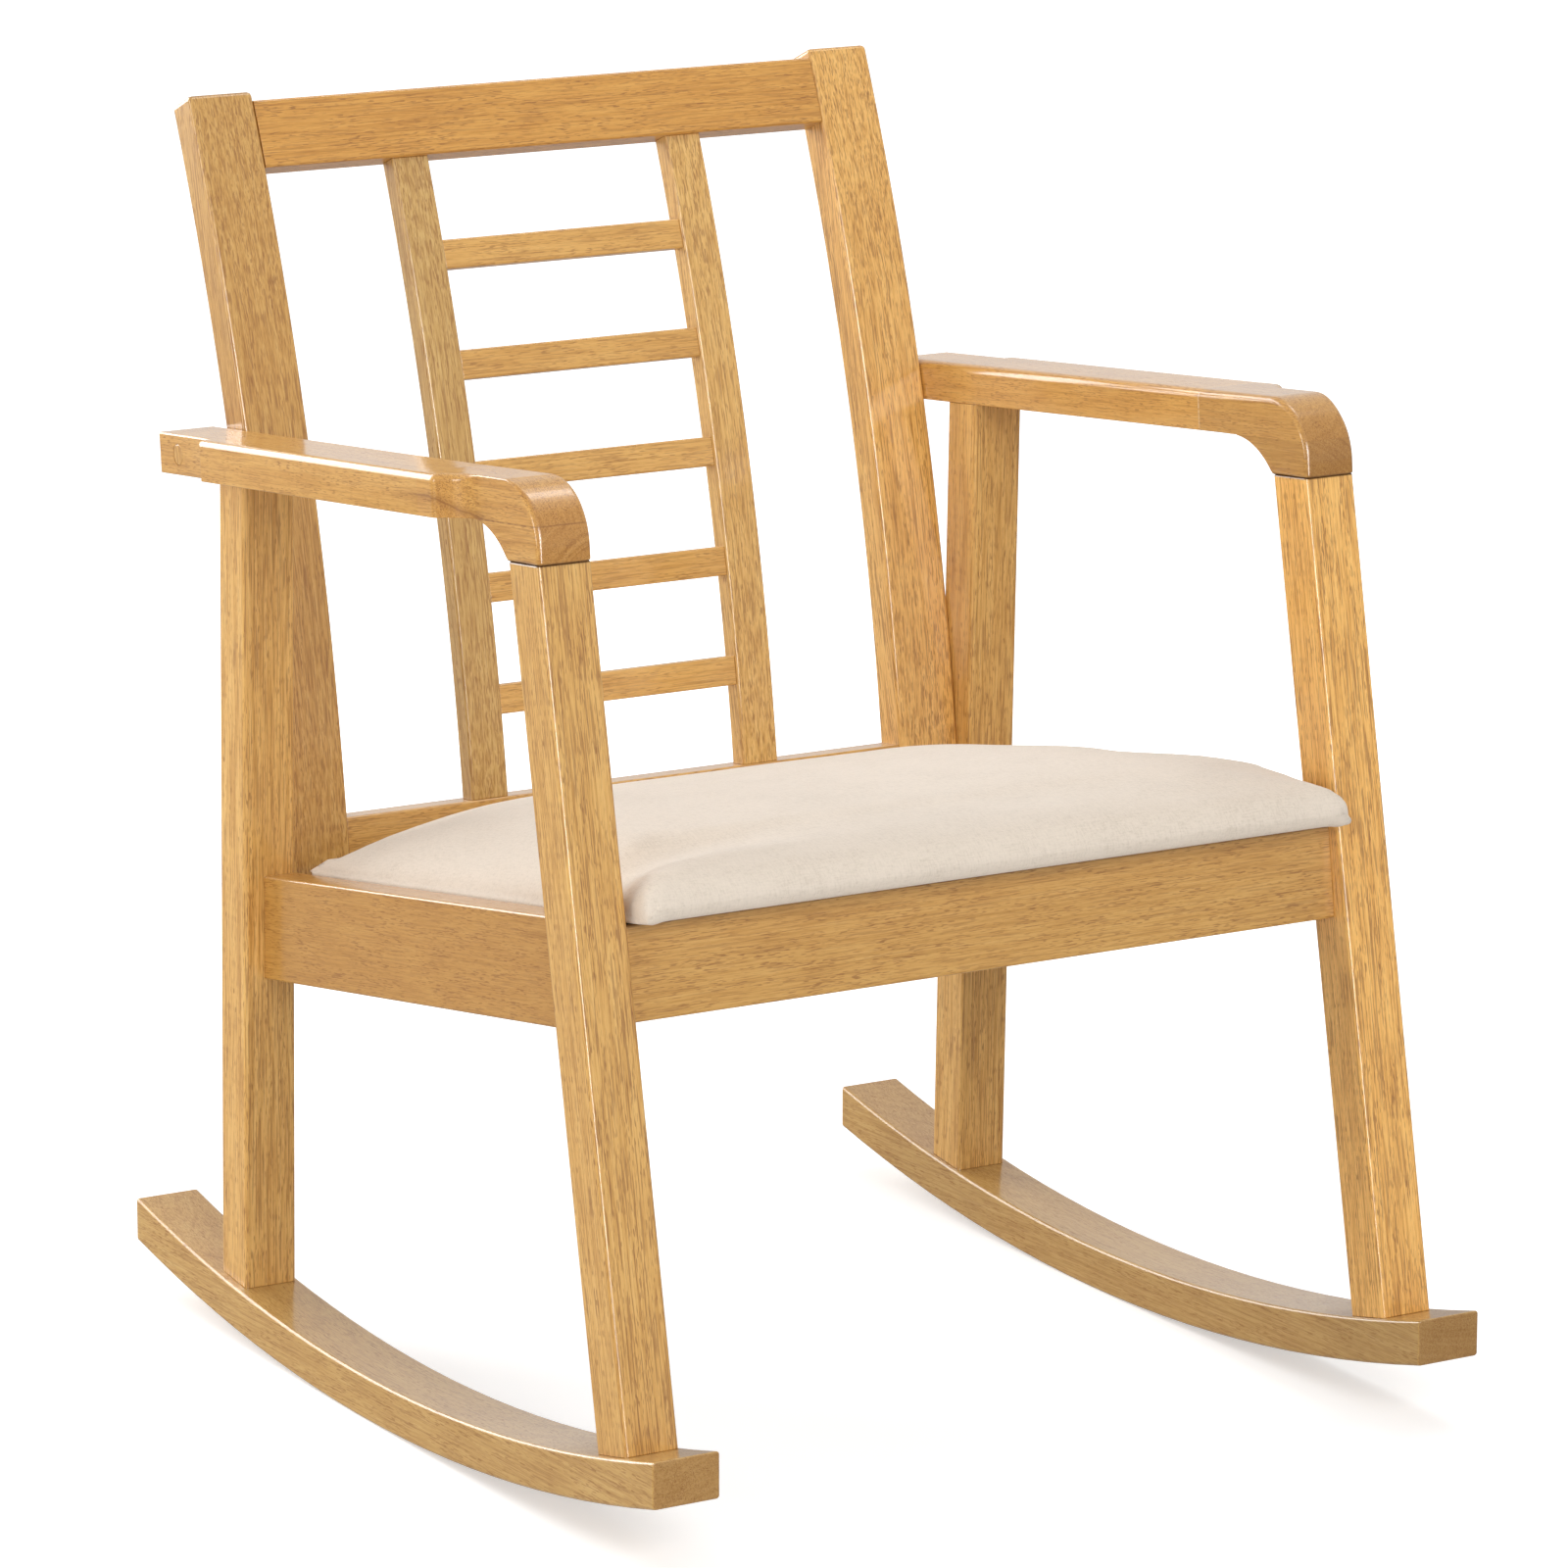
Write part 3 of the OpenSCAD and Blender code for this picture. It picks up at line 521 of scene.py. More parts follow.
def plan_edge(seam):
    """Outer edge of the nose in plan: points and outward directions from the seam forward."""
    inner, slim, outer = ARM_X
    step, run = outer - slim, NECK[1] - NECK[0]
    turn = (run ** 2 + step ** 2) / (2 * step)
    turn_x, turn_v = slim + turn, seam - NECK[1]
    round_x = outer - NECK_ROUND
    round_v = turn_v + math.sqrt((turn + NECK_ROUND) ** 2 - (turn_x - round_x) ** 2)
    widest = math.atan2(round_v - turn_v, turn_x - round_x)
    edge = [(outer, seam, 0.0), (outer, (seam + round_v) / 2, 0.0)]
    for k in range(NECK_STEPS):
        a = widest * k / NECK_STEPS
        edge.append((round_x + NECK_ROUND * math.cos(a), round_v - NECK_ROUND * math.sin(a), a))
    for k in range(NECK_STEPS + 1):
        a = widest * (1 - k / NECK_STEPS)
        edge.append((turn_x - turn * math.cos(a), turn_v + turn * math.sin(a), a))
    for share in NECK_POINTS:
        edge.append((slim, turn_v + share * (ROLL_V - turn_v), 0.0))
    return edge


def elbow_stations(seam, edges):
    """Sections along the elbow's top: outer point, outward, upward, outer and inner radius."""
    flat = []
    for x, v, a in plan_edge(seam):
        narrow = ease(seam - v, NECK[0] + NECK_ROUND, NECK[1])
        flat.append([Vector((x, v, 0)), Vector((math.cos(a), -math.sin(a), 0)),
                     Vector((0, 0, 1)), blend(edges.arm_outer, edges.neck, narrow),
                     blend(edges.arm_inner, NECK_INSIDE, ease(seam - v, *FADES["inside"]))])
    roll = []
    for k in range(1, ROLL_STEPS + 1):
        a = math.pi / 2 * k / ROLL_STEPS
        ahead = ROLL_R * math.sin(a)
        roll.append([Vector((ARM_X[1], ROLL_V - ahead, ROLL_R * (math.cos(a) - 1))), ALONG_X,
                     Vector((0, -math.sin(a), math.cos(a))),
                     blend(edges.neck, edges.arm_roll, ease(ahead, *FADES["outer roll"])),
                     blend(NECK_INSIDE, edges.arm_roll, ease(ahead, *FADES["inner roll"]))])
    roll.append([Vector((ARM_X[1], ROLL_V - ROLL_R, -ELBOW_DROP)), *roll[-1][1:]])
    return flat, roll


def rounded_corner(point, outward, up, radius):
    """Points of a rounded edge, from the side's face to the top's."""
    turns = [math.pi / 2 * k / ARC_STEPS for k in range(ARC_STEPS + 1)]
    return [point - outward * radius * (1 - math.cos(a)) - up * radius * (1 - math.sin(a))
            for a in turns]


def sections(bm, stations):
    """One row of points for each station, skinned, from the outer side over to the inner."""
    rows = []
    for point, outward, up, outer, inner in stations:
        mate = Vector((ARM_X[0], point.y, point.z))
        row = rounded_corner(point, outward, up, outer) \
            + rounded_corner(mate, -ALONG_X, up, inner)[::-1]
        rows.append([bm.verts.new(p) for p in row])
    skin(bm, rows)
    return rows


def skin(bm, rows):
    for one, two in zip(rows, rows[1:]):
        for k in range(len(one) - 1):
            bm.faces.new((one[k], one[k + 1], two[k + 1], two[k]))


def cut_level(bm, keep_top):
    """Saws the form at the arm's underside and closes the cut."""
    bmesh.ops.bisect_plane(
        bm, geom=bm.verts[:] + bm.edges[:] + bm.faces[:], dist=NARROW, plane_co=(0, 0, -ARM_T),
        plane_no=(0, 0, 1), clear_inner=keep_top, clear_outer=not keep_top)
    bmesh.ops.remove_doubles(bm, verts=bm.verts, dist=NARROW)
    bmesh.ops.holes_fill(bm, edges=[e for e in bm.edges if e.is_boundary], sides=0)


def nose_form(edges, seam):
    """The arm's nose in the arm's frame, right side."""
    bm = bmesh.new()
    flat, roll = elbow_stations(seam, edges)
    rows = sections(bm, flat + roll)
    lower = []
    down = Vector((0, 0, -1))
    for point, outward, *_ in flat:
        radius = max(HAIR, edges.arm_under * (1 - ease(seam - point.y, *FADES["underside"])))
        foot, mate = Vector((point.x, point.y, -ARM_T)), Vector((ARM_X[0], point.y, -ARM_T))
        chain = rounded_corner(foot, outward, down, radius) \
            + rounded_corner(mate, -ALONG_X, down, radius)[::-1]
        lower.append([bm.verts.new(p) for p in chain])
    skin(bm, lower)
    last = len(flat) - 1
    for a, b, c, d in zip(rows[:last], rows[1:last + 1], lower, lower[1:]):
        bm.faces.new((a[0], b[0], d[0], c[0]))
        bm.faces.new((a[-1], b[-1], d[-1], c[-1]))
    walls = [bm.verts.new((x, ROLL_V, -ELBOW_DROP)) for x in (ARM_X[1], ARM_X[0])]
    bm.faces.new([r[0] for r in rows[last:]] + [walls[0], lower[-1][0]])
    bm.faces.new([r[-1] for r in rows[last:]] + [walls[1], lower[-1][-1]])
    bm.faces.new(lower[-1] + walls[::-1])
    bm.faces.new(rows[-1] + walls[::-1])
    bm.faces.new(rows[0] + lower[0][::-1])
    cut_level(bm, True)
    return bm


def block_form(edges, seam):
    """The elbow block in the arm's frame, right side."""
    bm = bmesh.new()
    flat, roll = elbow_stations(seam, edges)
    full = math.acos((ARM_T + HOLLOW_R - ELBOW_DROP) / HOLLOW_R)
    turns = [HOLLOW_TIP + (full - HOLLOW_TIP) * k / NECK_STEPS for k in range(NECK_STEPS + 1)]
    hollow = [(HOLLOW_V - HOLLOW_R * math.sin(a), HOLLOW_R * (math.cos(a) - 1) - ARM_T)
              for a in turns]
    tail = [Vector((ARM_X[1], hollow[0][0], 0)), *flat[-1][1:]]
    rows = sections(bm, [tail, flat[-1]] + roll)
    outer, inner = [[bm.verts.new((x, v, w)) for v, w in hollow] for x in (ARM_X[1], ARM_X[0])]
    skin(bm, [outer, inner])
    bm.faces.new([r[0] for r in rows] + outer[::-1])
    bm.faces.new([r[-1] for r in rows] + inner[::-1])
    bm.faces.new(rows[0] + [inner[0], outer[0]])
    bm.faces.new(rows[-1] + [inner[-1], outer[-1]])
    cut_level(bm, False)
    return bm


def arm_seam(side):
    """Where the nose is glued to the arm, along the arm."""
    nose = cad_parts["arm_nose_" + side].data
    return max((ARM_BACK @ v.co).y for v in nose.vertices)


def board_form(node, kind, edges):
    """The board before its sharp edges are rounded, in the chair's frame."""
    if kind in ("nose", "block"):
        side = node.split("_")[-1]
        bm = {"nose": nose_form, "block": block_form}[kind](edges, arm_seam(side))
        mirror = Matrix.Diagonal((-1 if side == "left" else 1, 1, 1, 1))
        bmesh.ops.transform(bm, matrix=ARM @ mirror, verts=bm.verts)
        bmesh.ops.recalc_face_normals(bm, faces=bm.faces)
    else:
        bm = bmesh.new()
        bm.from_mesh(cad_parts[node].data)
    return bm


def dress(node, edges, colours):
    """Replaces one board's node by a copy with rounded edges and its own grain."""
    kind, grain = BOARDS[node].kind, BOARDS[node].grain
    bm = board_form(node, kind, edges)
    join_faces(bm)
    for face in bm.faces:
        face.smooth = True
    weight = bm.edges.layers.float.new("bevel_weight_edge")
    radii = {}
    for group, span in outlines(sharp_edges(bm)):
        for edge in group:
            radius = 0.0
            if span > BORE_SPAN and edge.is_convex:
                radius = edge_radius(node, kind, grain, edge, edges)
            if radius > 0:
                radii[edge] = radius
            else:
                edge.smooth = False
    widest = max(radii.values(), default=0.0)
    for edge, radius in radii.items():
        edge[weight] = radius / widest
    piece = new_piece(node + "_board", mesh_of(bm, node + "_board"))
    if radii:
        bevel = piece.modifiers.new("Rounded edges", "BEVEL")
        bevel.limit_method = "WEIGHT"
        bevel.width = widest
        bevel.segments = BEVEL_STEPS
        bevel.use_clamp_overlap = False
        bevel.loop_slide = False
    normals = piece.modifiers.new("Flat faces", "WEIGHTED_NORMAL")
    normals.keep_sharp = True
    piece.data.materials.append(board_material(node, BOARDS[node], colours))
    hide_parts(node)
    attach(piece, BODY)


def shade(board, value):
    """A colour made lighter or darker by the board's tone, and more or less golden."""
    tone, warmth = board.tone, board.warmth
    gain = (tone, tone * (1 - 0.10 * warmth), tone * (1 - 0.28 * warmth))
    return tuple(min(1.0, c * g) for c, g in zip(value, gain))


# Marks on the wood and painted shade, in metres: lines as (half width of the core, half width in
# all), and places as (low, high). A cover of 1 hides the wood under the mark.
JOINT_LINE, JOINT_COVER, JOINT_MORE = (0.0002, 0.0008), 0.35, 0.5
JOINT_END = (HOLLOW_V - 0.016, HOLLOW_V - 0.004)
STREAK_DROP, STREAK_SLANT, STREAK_WAVE = 0.0150, 0.72, 0.0030
STREAK_START, STREAK_STOP = (-0.146, -0.138), (-0.098, -0.040)
STREAK_CORE, STREAK_CORE_COVER = (0.0002, 0.0010), 0.36
STREAK_HALO, STREAK_HALO_COVER = (0.0004, 0.0065), 0.42
SEAM_LINE, SEAM_COVER, SEAM_TINT = (0.0002, 0.0011), 0.5, (0.90, 0.74, 0.50)
# Painted shadow under the cushion's front edge, on the front rail.
GAP_SHADOW_TOP, GAP_SHADOW_COVER, GAP_SHADOW_TONE = (-0.0090, -0.0064), 0.80, 0.5
# Painted shade at the bottom of the groove under each elbow block.
GROOVE_SHADE_LINE, GROOVE_SHADE_COVER, GROOVE_SHADE_TONE = (0.0004, 0.0015), 0.85, 0.35


def glue_line(graph, base, pore):
    """A dark joint under the nose, and a brown mineral streak that runs down to it."""
    x, v, w = graph.parts(arm_place(graph))
    joint = graph.near(w + ARM_T, *JOINT_LINE) * (1.0 - graph.step(v, *JOINT_END))
    broken = graph.step(graph.noise_line(v * 160), 0.30, 0.65)
    base = graph.mix(joint * (JOINT_COVER + JOINT_MORE * broken), base, pore)
    wave = (graph.noise_line(v * 90) - 0.5) * STREAK_WAVE
    streak = w + STREAK_DROP + (ARM_X[2] - abs(x)) * STREAK_SLANT + wave
    ends = graph.step(v, *STREAK_START) * (1.0 - graph.step(v, *STREAK_STOP))
    core = graph.near(streak, *STREAK_CORE) * STREAK_CORE_COVER
    halo = graph.near(streak, *STREAK_HALO) * STREAK_HALO_COVER
    return graph.mix((core + halo) * ends, base, pore)


def seam_light_line(graph, base):
    """A lighter, broken line along the right arm's seam."""
    _, v, w = graph.parts(arm_place(graph))
    broken = graph.step(graph.noise_line(w * 300), 0.32, 0.60)
    lighter_line = graph.near(v - arm_seam("right"), *SEAM_LINE) * broken
    return graph.mix(lighter_line * SEAM_COVER, base, SEAM_TINT)


def gap_shade(graph, base, pore):
    """Painted shadow on the top of the front rail, under the cushion's front edge."""
    painted_shade = graph.step(graph.parts(seat_place(graph))[2], *GAP_SHADOW_TOP)
    return graph.mix(painted_shade * GAP_SHADOW_COVER, base, times(pore, GAP_SHADOW_TONE))


def groove_shade(graph, base, pore):
    """Painted shade at the bottom of the groove between a front leg and its elbow block."""
    painted_shade = graph.near(graph.parts(arm_place(graph))[2] + ELBOW_DROP, *GROOVE_SHADE_LINE)
    return graph.mix(painted_shade * GROOVE_SHADE_COVER, base, times(pore, GROOVE_SHADE_TONE))


# Figures of the wood: bumps per metre along the grain, across it and through the board, and the
# noise's detail. Masks are the noise's values where a figure starts to show and shows in full.
WANDER, MOTTLE = ((5, 22, 22), 2.0), ((16, 60, 60), 2.0)
STREAKS, FIBRES = ((14, 640, 640), 2.0), ((60, 1900, 1900), 1.0)
PATCHES, PATCH_MASK = ((22, 150, 150), 1.0), (0.34, 0.62)
SHORT_PORES, SHORT_MASK = ((150, 1500, 1500), 0.0), (0.58, 0.69)
LONG_PORES, LONG_MASK = ((30, 900, 900), 0.0), (0.57, 0.68)
RINGS, RING_BEND, RING_SHIFT = 330, 0.014, 7.3   # per metre, their wander, from board to board
TONES = {"rings": 0.70, "streaks": 1.02, "fibres": 0.52, "mottle": 0.38}
TONE_STOPS = (0.18, 0.50, 0.82)
SPREAD, PORE_COVER, LINE_COVER = (0.30, 0.70), 0.68, 0.50    # pores everywhere, more in patches
BOARD_STEP = 0.37                # each board is cut this much further along the log
END_GRAIN, END_MASK = (0.80, 0.74, 0.72), (0.45, 0.98)
SHEEN = 0.42                     # roughness of the wood under its lacquer


def board_material(node, board, colours):
    """Lacquered wood: growth rings, streaks, fine pore dashes and darker end grain."""
    source = GRAIN_OF.get(node, node)
    index = len(BOARDS) if node == "arm_plugs" else list(BOARDS).index(source)
    material, graph, shader = new_material(
        "wood_" + node, coat_weight=0.9, coat_roughness=0.15, coat_ior=1.5,
        specular_ior_level=0.15)
    turn = grain_turn(board.grain)
    offset = turn.to_matrix() @ Vector((BOARD_STEP * index, 0.0, 0.0))
    place = object_place(graph, centre_of(source) - offset, turn)
    _, across, through = graph.parts(place)
    bend = (graph.noise(place, *WANDER) - 0.5) * RING_BEND
    spoke = graph.value("ShaderNodeCombineXYZ", None, {1: across - board.pith[0] + bend,
                                                       2: through - board.pith[1] + bend})
    radius = graph.vector_math("LENGTH", spoke, key="Value")
    rings = graph.noise_line(radius * RINGS + index * RING_SHIFT, 2.0)
    streaks, fibres = graph.noise(place, *STREAKS), graph.noise(place, *FIBRES)
    mottle = graph.noise(place, *MOTTLE)
    tones = [shade(board, c) for c in (colours.wood_dark, colours.wood_mid, colours.wood_pale)]
    base = graph.ramp(
        0.5 + (rings - 0.5) * (TONES["rings"] * board.rings)
        + (streaks - 0.5) * (TONES["streaks"] * board.streaks)
        + (fibres - 0.5) * TONES["fibres"] + (mottle - 0.5) * TONES["mottle"],
        *zip(TONE_STOPS, tones))
    patches = graph.step(graph.noise(place, *PATCHES), *PATCH_MASK)
    short = graph.step(graph.noise(place, *SHORT_PORES), *SHORT_MASK)
    long = graph.step(graph.noise(place, *LONG_PORES), *LONG_MASK)
    pores = short * (SPREAD[0] + SPREAD[1] * patches) * board.pores
    base = graph.mix(pores * PORE_COVER, base, colours.pore)
    base = graph.mix(long * board.streaks * LINE_COVER, base, colours.pore)
    if node in ("arm_left", "arm_nose_left", "elbow_block_left"):
        base = glue_line(graph, base, colours.pore)
    if node in ("arm_right", "arm_nose_right"):
        base = seam_light_line(graph, base)
    # Painted shadow under the cushion's front edge.
    if node == "front_rail":
        base = gap_shade(graph, base, colours.pore)
    # Painted shade in the groove under the elbow block.
    if node.startswith(("elbow_block", "front_leg")):
        base = groove_shade(graph, base, colours.pore)
    normal = graph.value("ShaderNodeNewGeometry", key="Normal")
    facing = graph.vector_math("DOT_PRODUCT", normal, board.grain, "Value")
    base = graph.mix(graph.step(abs(facing), *END_MASK), base,
                     graph.mix(1.0, base, END_GRAIN, "MULTIPLY"))
    feed(graph, shader, base_color=base,
         roughness=SHEEN + pores * 0.2 + (streaks - 0.5) * 0.10,
         normal=graph.bump(streaks * 0.35 + fibres * 0.25 - pores, 0.00012, 0.30))
    return material


# ---- the cushion ----

# In the seat's frame: v runs towards the back, and w is the height.
NOSE_V, BACK_V = -0.2917, 0.2088  # its front and its back
HALF_X, CORNER = 0.278, 0.014     # half its width, and the roundness of its corners in plan
LEG_V = -0.2655                   # in front of the legs from here
PULL, FLARE = 0.0018, 0.0025      # pulled in between its corners, wider before the legs
FLARE_V = NOSE_V + 0.012          # where the wider part begins
CREST_V = -0.030                  # its highest line
# How it falls from there, as (fall in all, power of the way), and how its ends are rounded, as
# (run, drop).
FRONT_FALL, BACK_FALL = (0.0286, 2), (0.0267, 2.6)
FRONT_ROUND, BACK_ROUND = (0.020, 0.0200), (0.026, 0.0215)
# The hollow behind the front roll: its depths, where they fade across the seat, its slopes
# behind and in front, and how far and where it bends towards the back.
VALLEY, VALLEY_LEFT = 0.0014, 0.0086
VALLEY_FADE, VALLEY_LEFT_FADE = (0.100, 0.220), (0.080, 0.238)
VALLEY_BEHIND, VALLEY_FRONT = (0.180, 0.200), (0.214, 0.250)
VALLEY_BEND, VALLEY_BENDS_AT = 0.010, (0.190, 0.262)
# How far in from its side it is at full height: in front, and what each stretch adds.
SHOULDER, STEEPNESS = 0.018, 0.7
SHOULDER_RIGHT = ((0.080, -0.200, -0.090), (0.042, -0.090, 0.030))
SHOULDER_LEFT = ((0.039, NOSE_V + 0.010, -0.200), (0.083, -0.200, 0.030))
BOTTOM = -0.004
FOOT_RUN, FOOT_RISE = 0.0095, 0.0084         # its bottom rises to the front by an arc
EDGE_HIGH, EDGE_FALL = 0.0085, 0.0070        # height of its side edge in front, and its fall
EDGE_RUN = (NOSE_V + 0.015, -0.190)          # over this stretch
BOARD_X, BOARD_V = 0.2766, 0.2084            # just outside the board's upright edges
BOARD_TOP, BOARD_SLOPE = 0.009, (0.010, 0.014)   # its top, and how far its edges slope in
BOARD_REACH = 0.006
TURN_IN, FRONT_TURN = 0.028, 0.010           # the hem below, and where it starts in front
CUSHION_GRID = 84
SIM_FRAMES = 20


def dome(share):
    """0 at the edge, 1 from share 1 on, leaving the edge steeply."""
    t = min(1.0, max(0.0, share))
    return (1 - (1 - t) ** 2) ** STEEPNESS


def half_width(v):
    middle = (NOSE_V + BACK_V) / 2
    pull = PULL * (1 - ((v - middle) / (BACK_V - middle)) ** 2)
    return HALF_X - pull + FLARE * (1 - ease(v, FLARE_V, LEG_V))


def crown(v, crest):
    """Height of the cushion's middle line."""
    if v < CREST_V:
        (total, power_of), (run, drop) = FRONT_FALL, FRONT_ROUND
        share, gap = (CREST_V - v) / (CREST_V - NOSE_V), v - NOSE_V
    else:
        (total, power_of), (run, drop) = BACK_FALL, BACK_ROUND
        share, gap = (v - CREST_V) / (BACK_V - CREST_V), BACK_V - v
    over = min(1.0, max(0.0, 1 - gap / run))
    return crest - total * share ** power_of - drop * (1 - math.sqrt(max(0.0, 1 - over * over)))


def valley(x, v):
    """Depth of the soft hollow behind the front roll, deepest at the left corner."""
    ahead = -v - VALLEY_BEND * ease(abs(x), *VALLEY_BENDS_AT)
    depth = VALLEY * (1 - ease(x, *VALLEY_FADE)) + VALLEY_LEFT * ease(-x, *VALLEY_LEFT_FADE)
    return depth * ease(ahead, *VALLEY_BEHIND) * (1 - ease(ahead, *VALLEY_FRONT))


def cushion_top(x, v, crest):
    """Height of the cushion. Its filling is fuller at the front on the right."""
    run = SHOULDER
    for more, low, high in SHOULDER_RIGHT if x > 0 else SHOULDER_LEFT:
        run += more * ease(v, low, high)
    edge = EDGE_HIGH - EDGE_FALL * ease(v, *EDGE_RUN)
    high = crown(v, crest) - valley(x, v)
    return min(high, edge + (high - edge) * dome((half_width(v) - abs(x)) / run))


def cushion_bottom(x, v):
    front = max(0.0, 1 - (v - NOSE_V) / FOOT_RUN)
    return BOTTOM + FOOT_RISE * (1 - math.sqrt(1 - front ** 2))


def plan(s, t):
    """A point of the cushion's plan from two numbers of -1 to 1, with rounded corners."""
    half_v = (BACK_V - NOSE_V) / 2
    v = (NOSE_V + BACK_V) / 2 + t * half_v
    x = s * half_width(v)
    over_x, over_v = abs(x) - (half_width(v) - CORNER), abs(t) * half_v - (half_v - CORNER)
    if over_x > 0 and over_v > 0:
        pull = max(over_x, over_v) / math.hypot(over_x, over_v)
        x -= math.copysign(over_x * (1 - pull), x)
        v -= math.copysign(over_v * (1 - pull), t)
    return x, v


def cushion_form(crest):
    """The closed crowned form in the seat's frame."""
    bm = bmesh.new()
    steps = [math.sin(math.pi / 2 * (2 * k / CUSHION_GRID - 1)) for k in range(CUSHION_GRID + 1)]
    sheets = []
    for height in (lambda x, v: max(cushion_top(x, v, crest), cushion_bottom(x, v)),
                   cushion_bottom):
        rows = []
        for t in steps:
            places = [plan(s, t) for s in steps]
            rows.append([bm.verts.new((x, v, height(x, v))) for x, v in places])
        sheets.append(rows)
    top, low = sheets
    last = CUSHION_GRID
    for i in range(last):
        for j in range(last):
            bm.faces.new((top[i][j], top[i][j + 1], top[i + 1][j + 1], top[i + 1][j]))
            bm.faces.new((low[i][j], low[i + 1][j], low[i + 1][j + 1], low[i][j + 1]))
    rim = [(0, j) for j in range(last)] + [(i, last) for i in range(last)] \
        + [(last, j) for j in range(last, 0, -1)] + [(i, 0) for i in range(last, 0, -1)]
    for (a, b), (c, d) in zip(rim, rim[1:] + rim[:1]):
        bm.faces.new((low[a][b], low[c][d], top[c][d], top[a][b]))
    bmesh.ops.remove_doubles(bm, verts=bm.verts, dist=NARROW)
    bmesh.ops.recalc_face_normals(bm, faces=bm.faces)
    return bm


def evaluated_mesh(piece):
    """A plain mesh of a piece with its modifiers applied."""
    bpy.context.view_layer.update()
    graph = bpy.context.evaluated_depsgraph_get()
    return bpy.data.meshes.new_from_object(piece.evaluated_get(graph))


def take_mesh(piece):
    """Applies all modifiers of a piece."""
    mesh = evaluated_mesh(piece)
    piece.modifiers.clear()
    piece.data = mesh


COVER_CLOTH = {"quality": 5, "mass": 0.3, "tension_stiffness": 15, "compression_stiffness": 15,
               "shear_stiffness": 8, "bending_stiffness": 0.6, "use_pressure": True}
STAPLED = 0.0022                  # the cover is fixed up to this far above the bottom


def fill_cover(piece, pressure, cap):
    """Fills the cushion's cover by a cloth simulation, and caps how far a point moves."""
    scene = bpy.context.scene
    rest = [v.co.copy() for v in piece.data.vertices]
    pins = piece.vertex_groups.new(name="stapled")
    pins.add([v.index for v in piece.data.vertices if v.co.z < BOTTOM + STAPLED], 1.0, "REPLACE")
    cloth = piece.modifiers.new("Filling", "CLOTH")
    settings = cloth.settings
    for key, value in COVER_CLOTH.items():
        setattr(settings, key, value)
    settings.uniform_pressure_force = pressure
    settings.effector_weights.gravity = 0
    settings.vertex_group_mass = pins.name
    cloth.collision_settings.use_collision = False
    cloth.point_cache.frame_start, cloth.point_cache.frame_end = 1, SIM_FRAMES
    for step in range(1, SIM_FRAMES + 1):
        scene.frame_set(step)
    graph = bpy.context.evaluated_depsgraph_get()
    moved = [v.co.copy() for v in piece.evaluated_get(graph).data.vertices]
    piece.modifiers.remove(cloth)
    scene.frame_set(1)
    for vert, old, new in zip(piece.data.vertices, rest, moved):
        shift = new - old
        if shift.length > cap:
            shift *= cap / shift.length
        vert.co = old + shift


def outside_board(x, v, w):
    """Keeps a point of the cover's edge outside the seat board."""
    rise = max(0.0, w) / BOARD_TOP
    limit, back = BOARD_X - BOARD_SLOPE[0] * rise, BOARD_V - BOARD_SLOPE[1] * rise
    if BOTTOM < w < BOARD_TOP:
        if limit - BOARD_REACH < abs(x) < limit:
            x = math.copysign(limit, x)
        if back - BOARD_REACH < v < back:
            v = back
    return x, v


SIDE_LIMIT, SIDE_LIMIT_FRONT = 0.2795, 0.2825    # the cover's reach between and before the legs
UNEVEN, UNEVEN_CELLS, UNEVEN_FROM = 0.0007, 11, BOTTOM + 0.006
FOLD_IN, FOLD_WIDTH = 0.006, 0.0065              # where the folded corner's lump lies
FOLD_V, FOLD_TOP = NOSE_V + 0.030, 0.010         # it lies in front of this, and lower
FOLD_DROP, FOLD_PUSH = 0.0016, 0.0012            # how far it hangs down and stands out
HEM_V, HEM_TOP = NOSE_V + 0.016, BOTTOM + 0.0012
HEM_RISE, HEM_EDGE = 0.0021, (TURN_IN - 0.010, TURN_IN - 0.002)  # the step up inside the hem


def shape_details(piece):
    """Unevenness, the lumps of the folded corners, and the turned-in edge below."""
    for vert in piece.data.vertices:
        x, v, w = vert.co
        limit = SIDE_LIMIT if v > LEG_V else SIDE_LIMIT_FRONT
        if abs(x) > limit:
            x = math.copysign(limit, x)
        if w > UNEVEN_FROM:
            w += UNEVEN * noise.noise(Vector((x * UNEVEN_CELLS, v * UNEVEN_CELLS, 0.3)))
        if v < FOLD_V and w < FOLD_TOP:
            turn = abs(x) - (HALF_X - FOLD_IN)
            lump = math.exp(-(turn / FOLD_WIDTH) ** 2) * (1 - ease(w, BOTTOM, FOLD_TOP))
            w -= FOLD_DROP * lump * (1 - ease(v, FLARE_V, FOLD_V))
            v -= FOLD_PUSH * lump
        x, v = outside_board(x, v, w)
        if w < HEM_TOP and v > HEM_V:
            inset = min(HALF_X - abs(x), BACK_V - v, v - NOSE_V - FRONT_TURN)
            w = BOTTOM + HEM_RISE * ease(inset, *HEM_EDGE)
        elif w < BOTTOM and v > FOLD_V:
            w = BOTTOM
        vert.co = (x, v, w)


THREAD_GAP, THREAD_DRIFT = 0.00105, 0.0015       # from thread to thread, and how far they wander
WEFT_DRIFT, WARP_DRIFT = ((60, 60, 60), 1.0), ((48, 52, 50), 1.0)
SLUBS, SLUBS_ACROSS = ((140, 900, 900), 2.0), ((900, 140, 140), 2.0)
LINT, CLOUDS = ((620, 620, 620), 2.0), ((24, 24, 24), 3.0)
CLOTH_TONES = {"slubs": 0.55, "lint": 0.5, "clouds": 0.35, "threads": 0.18}


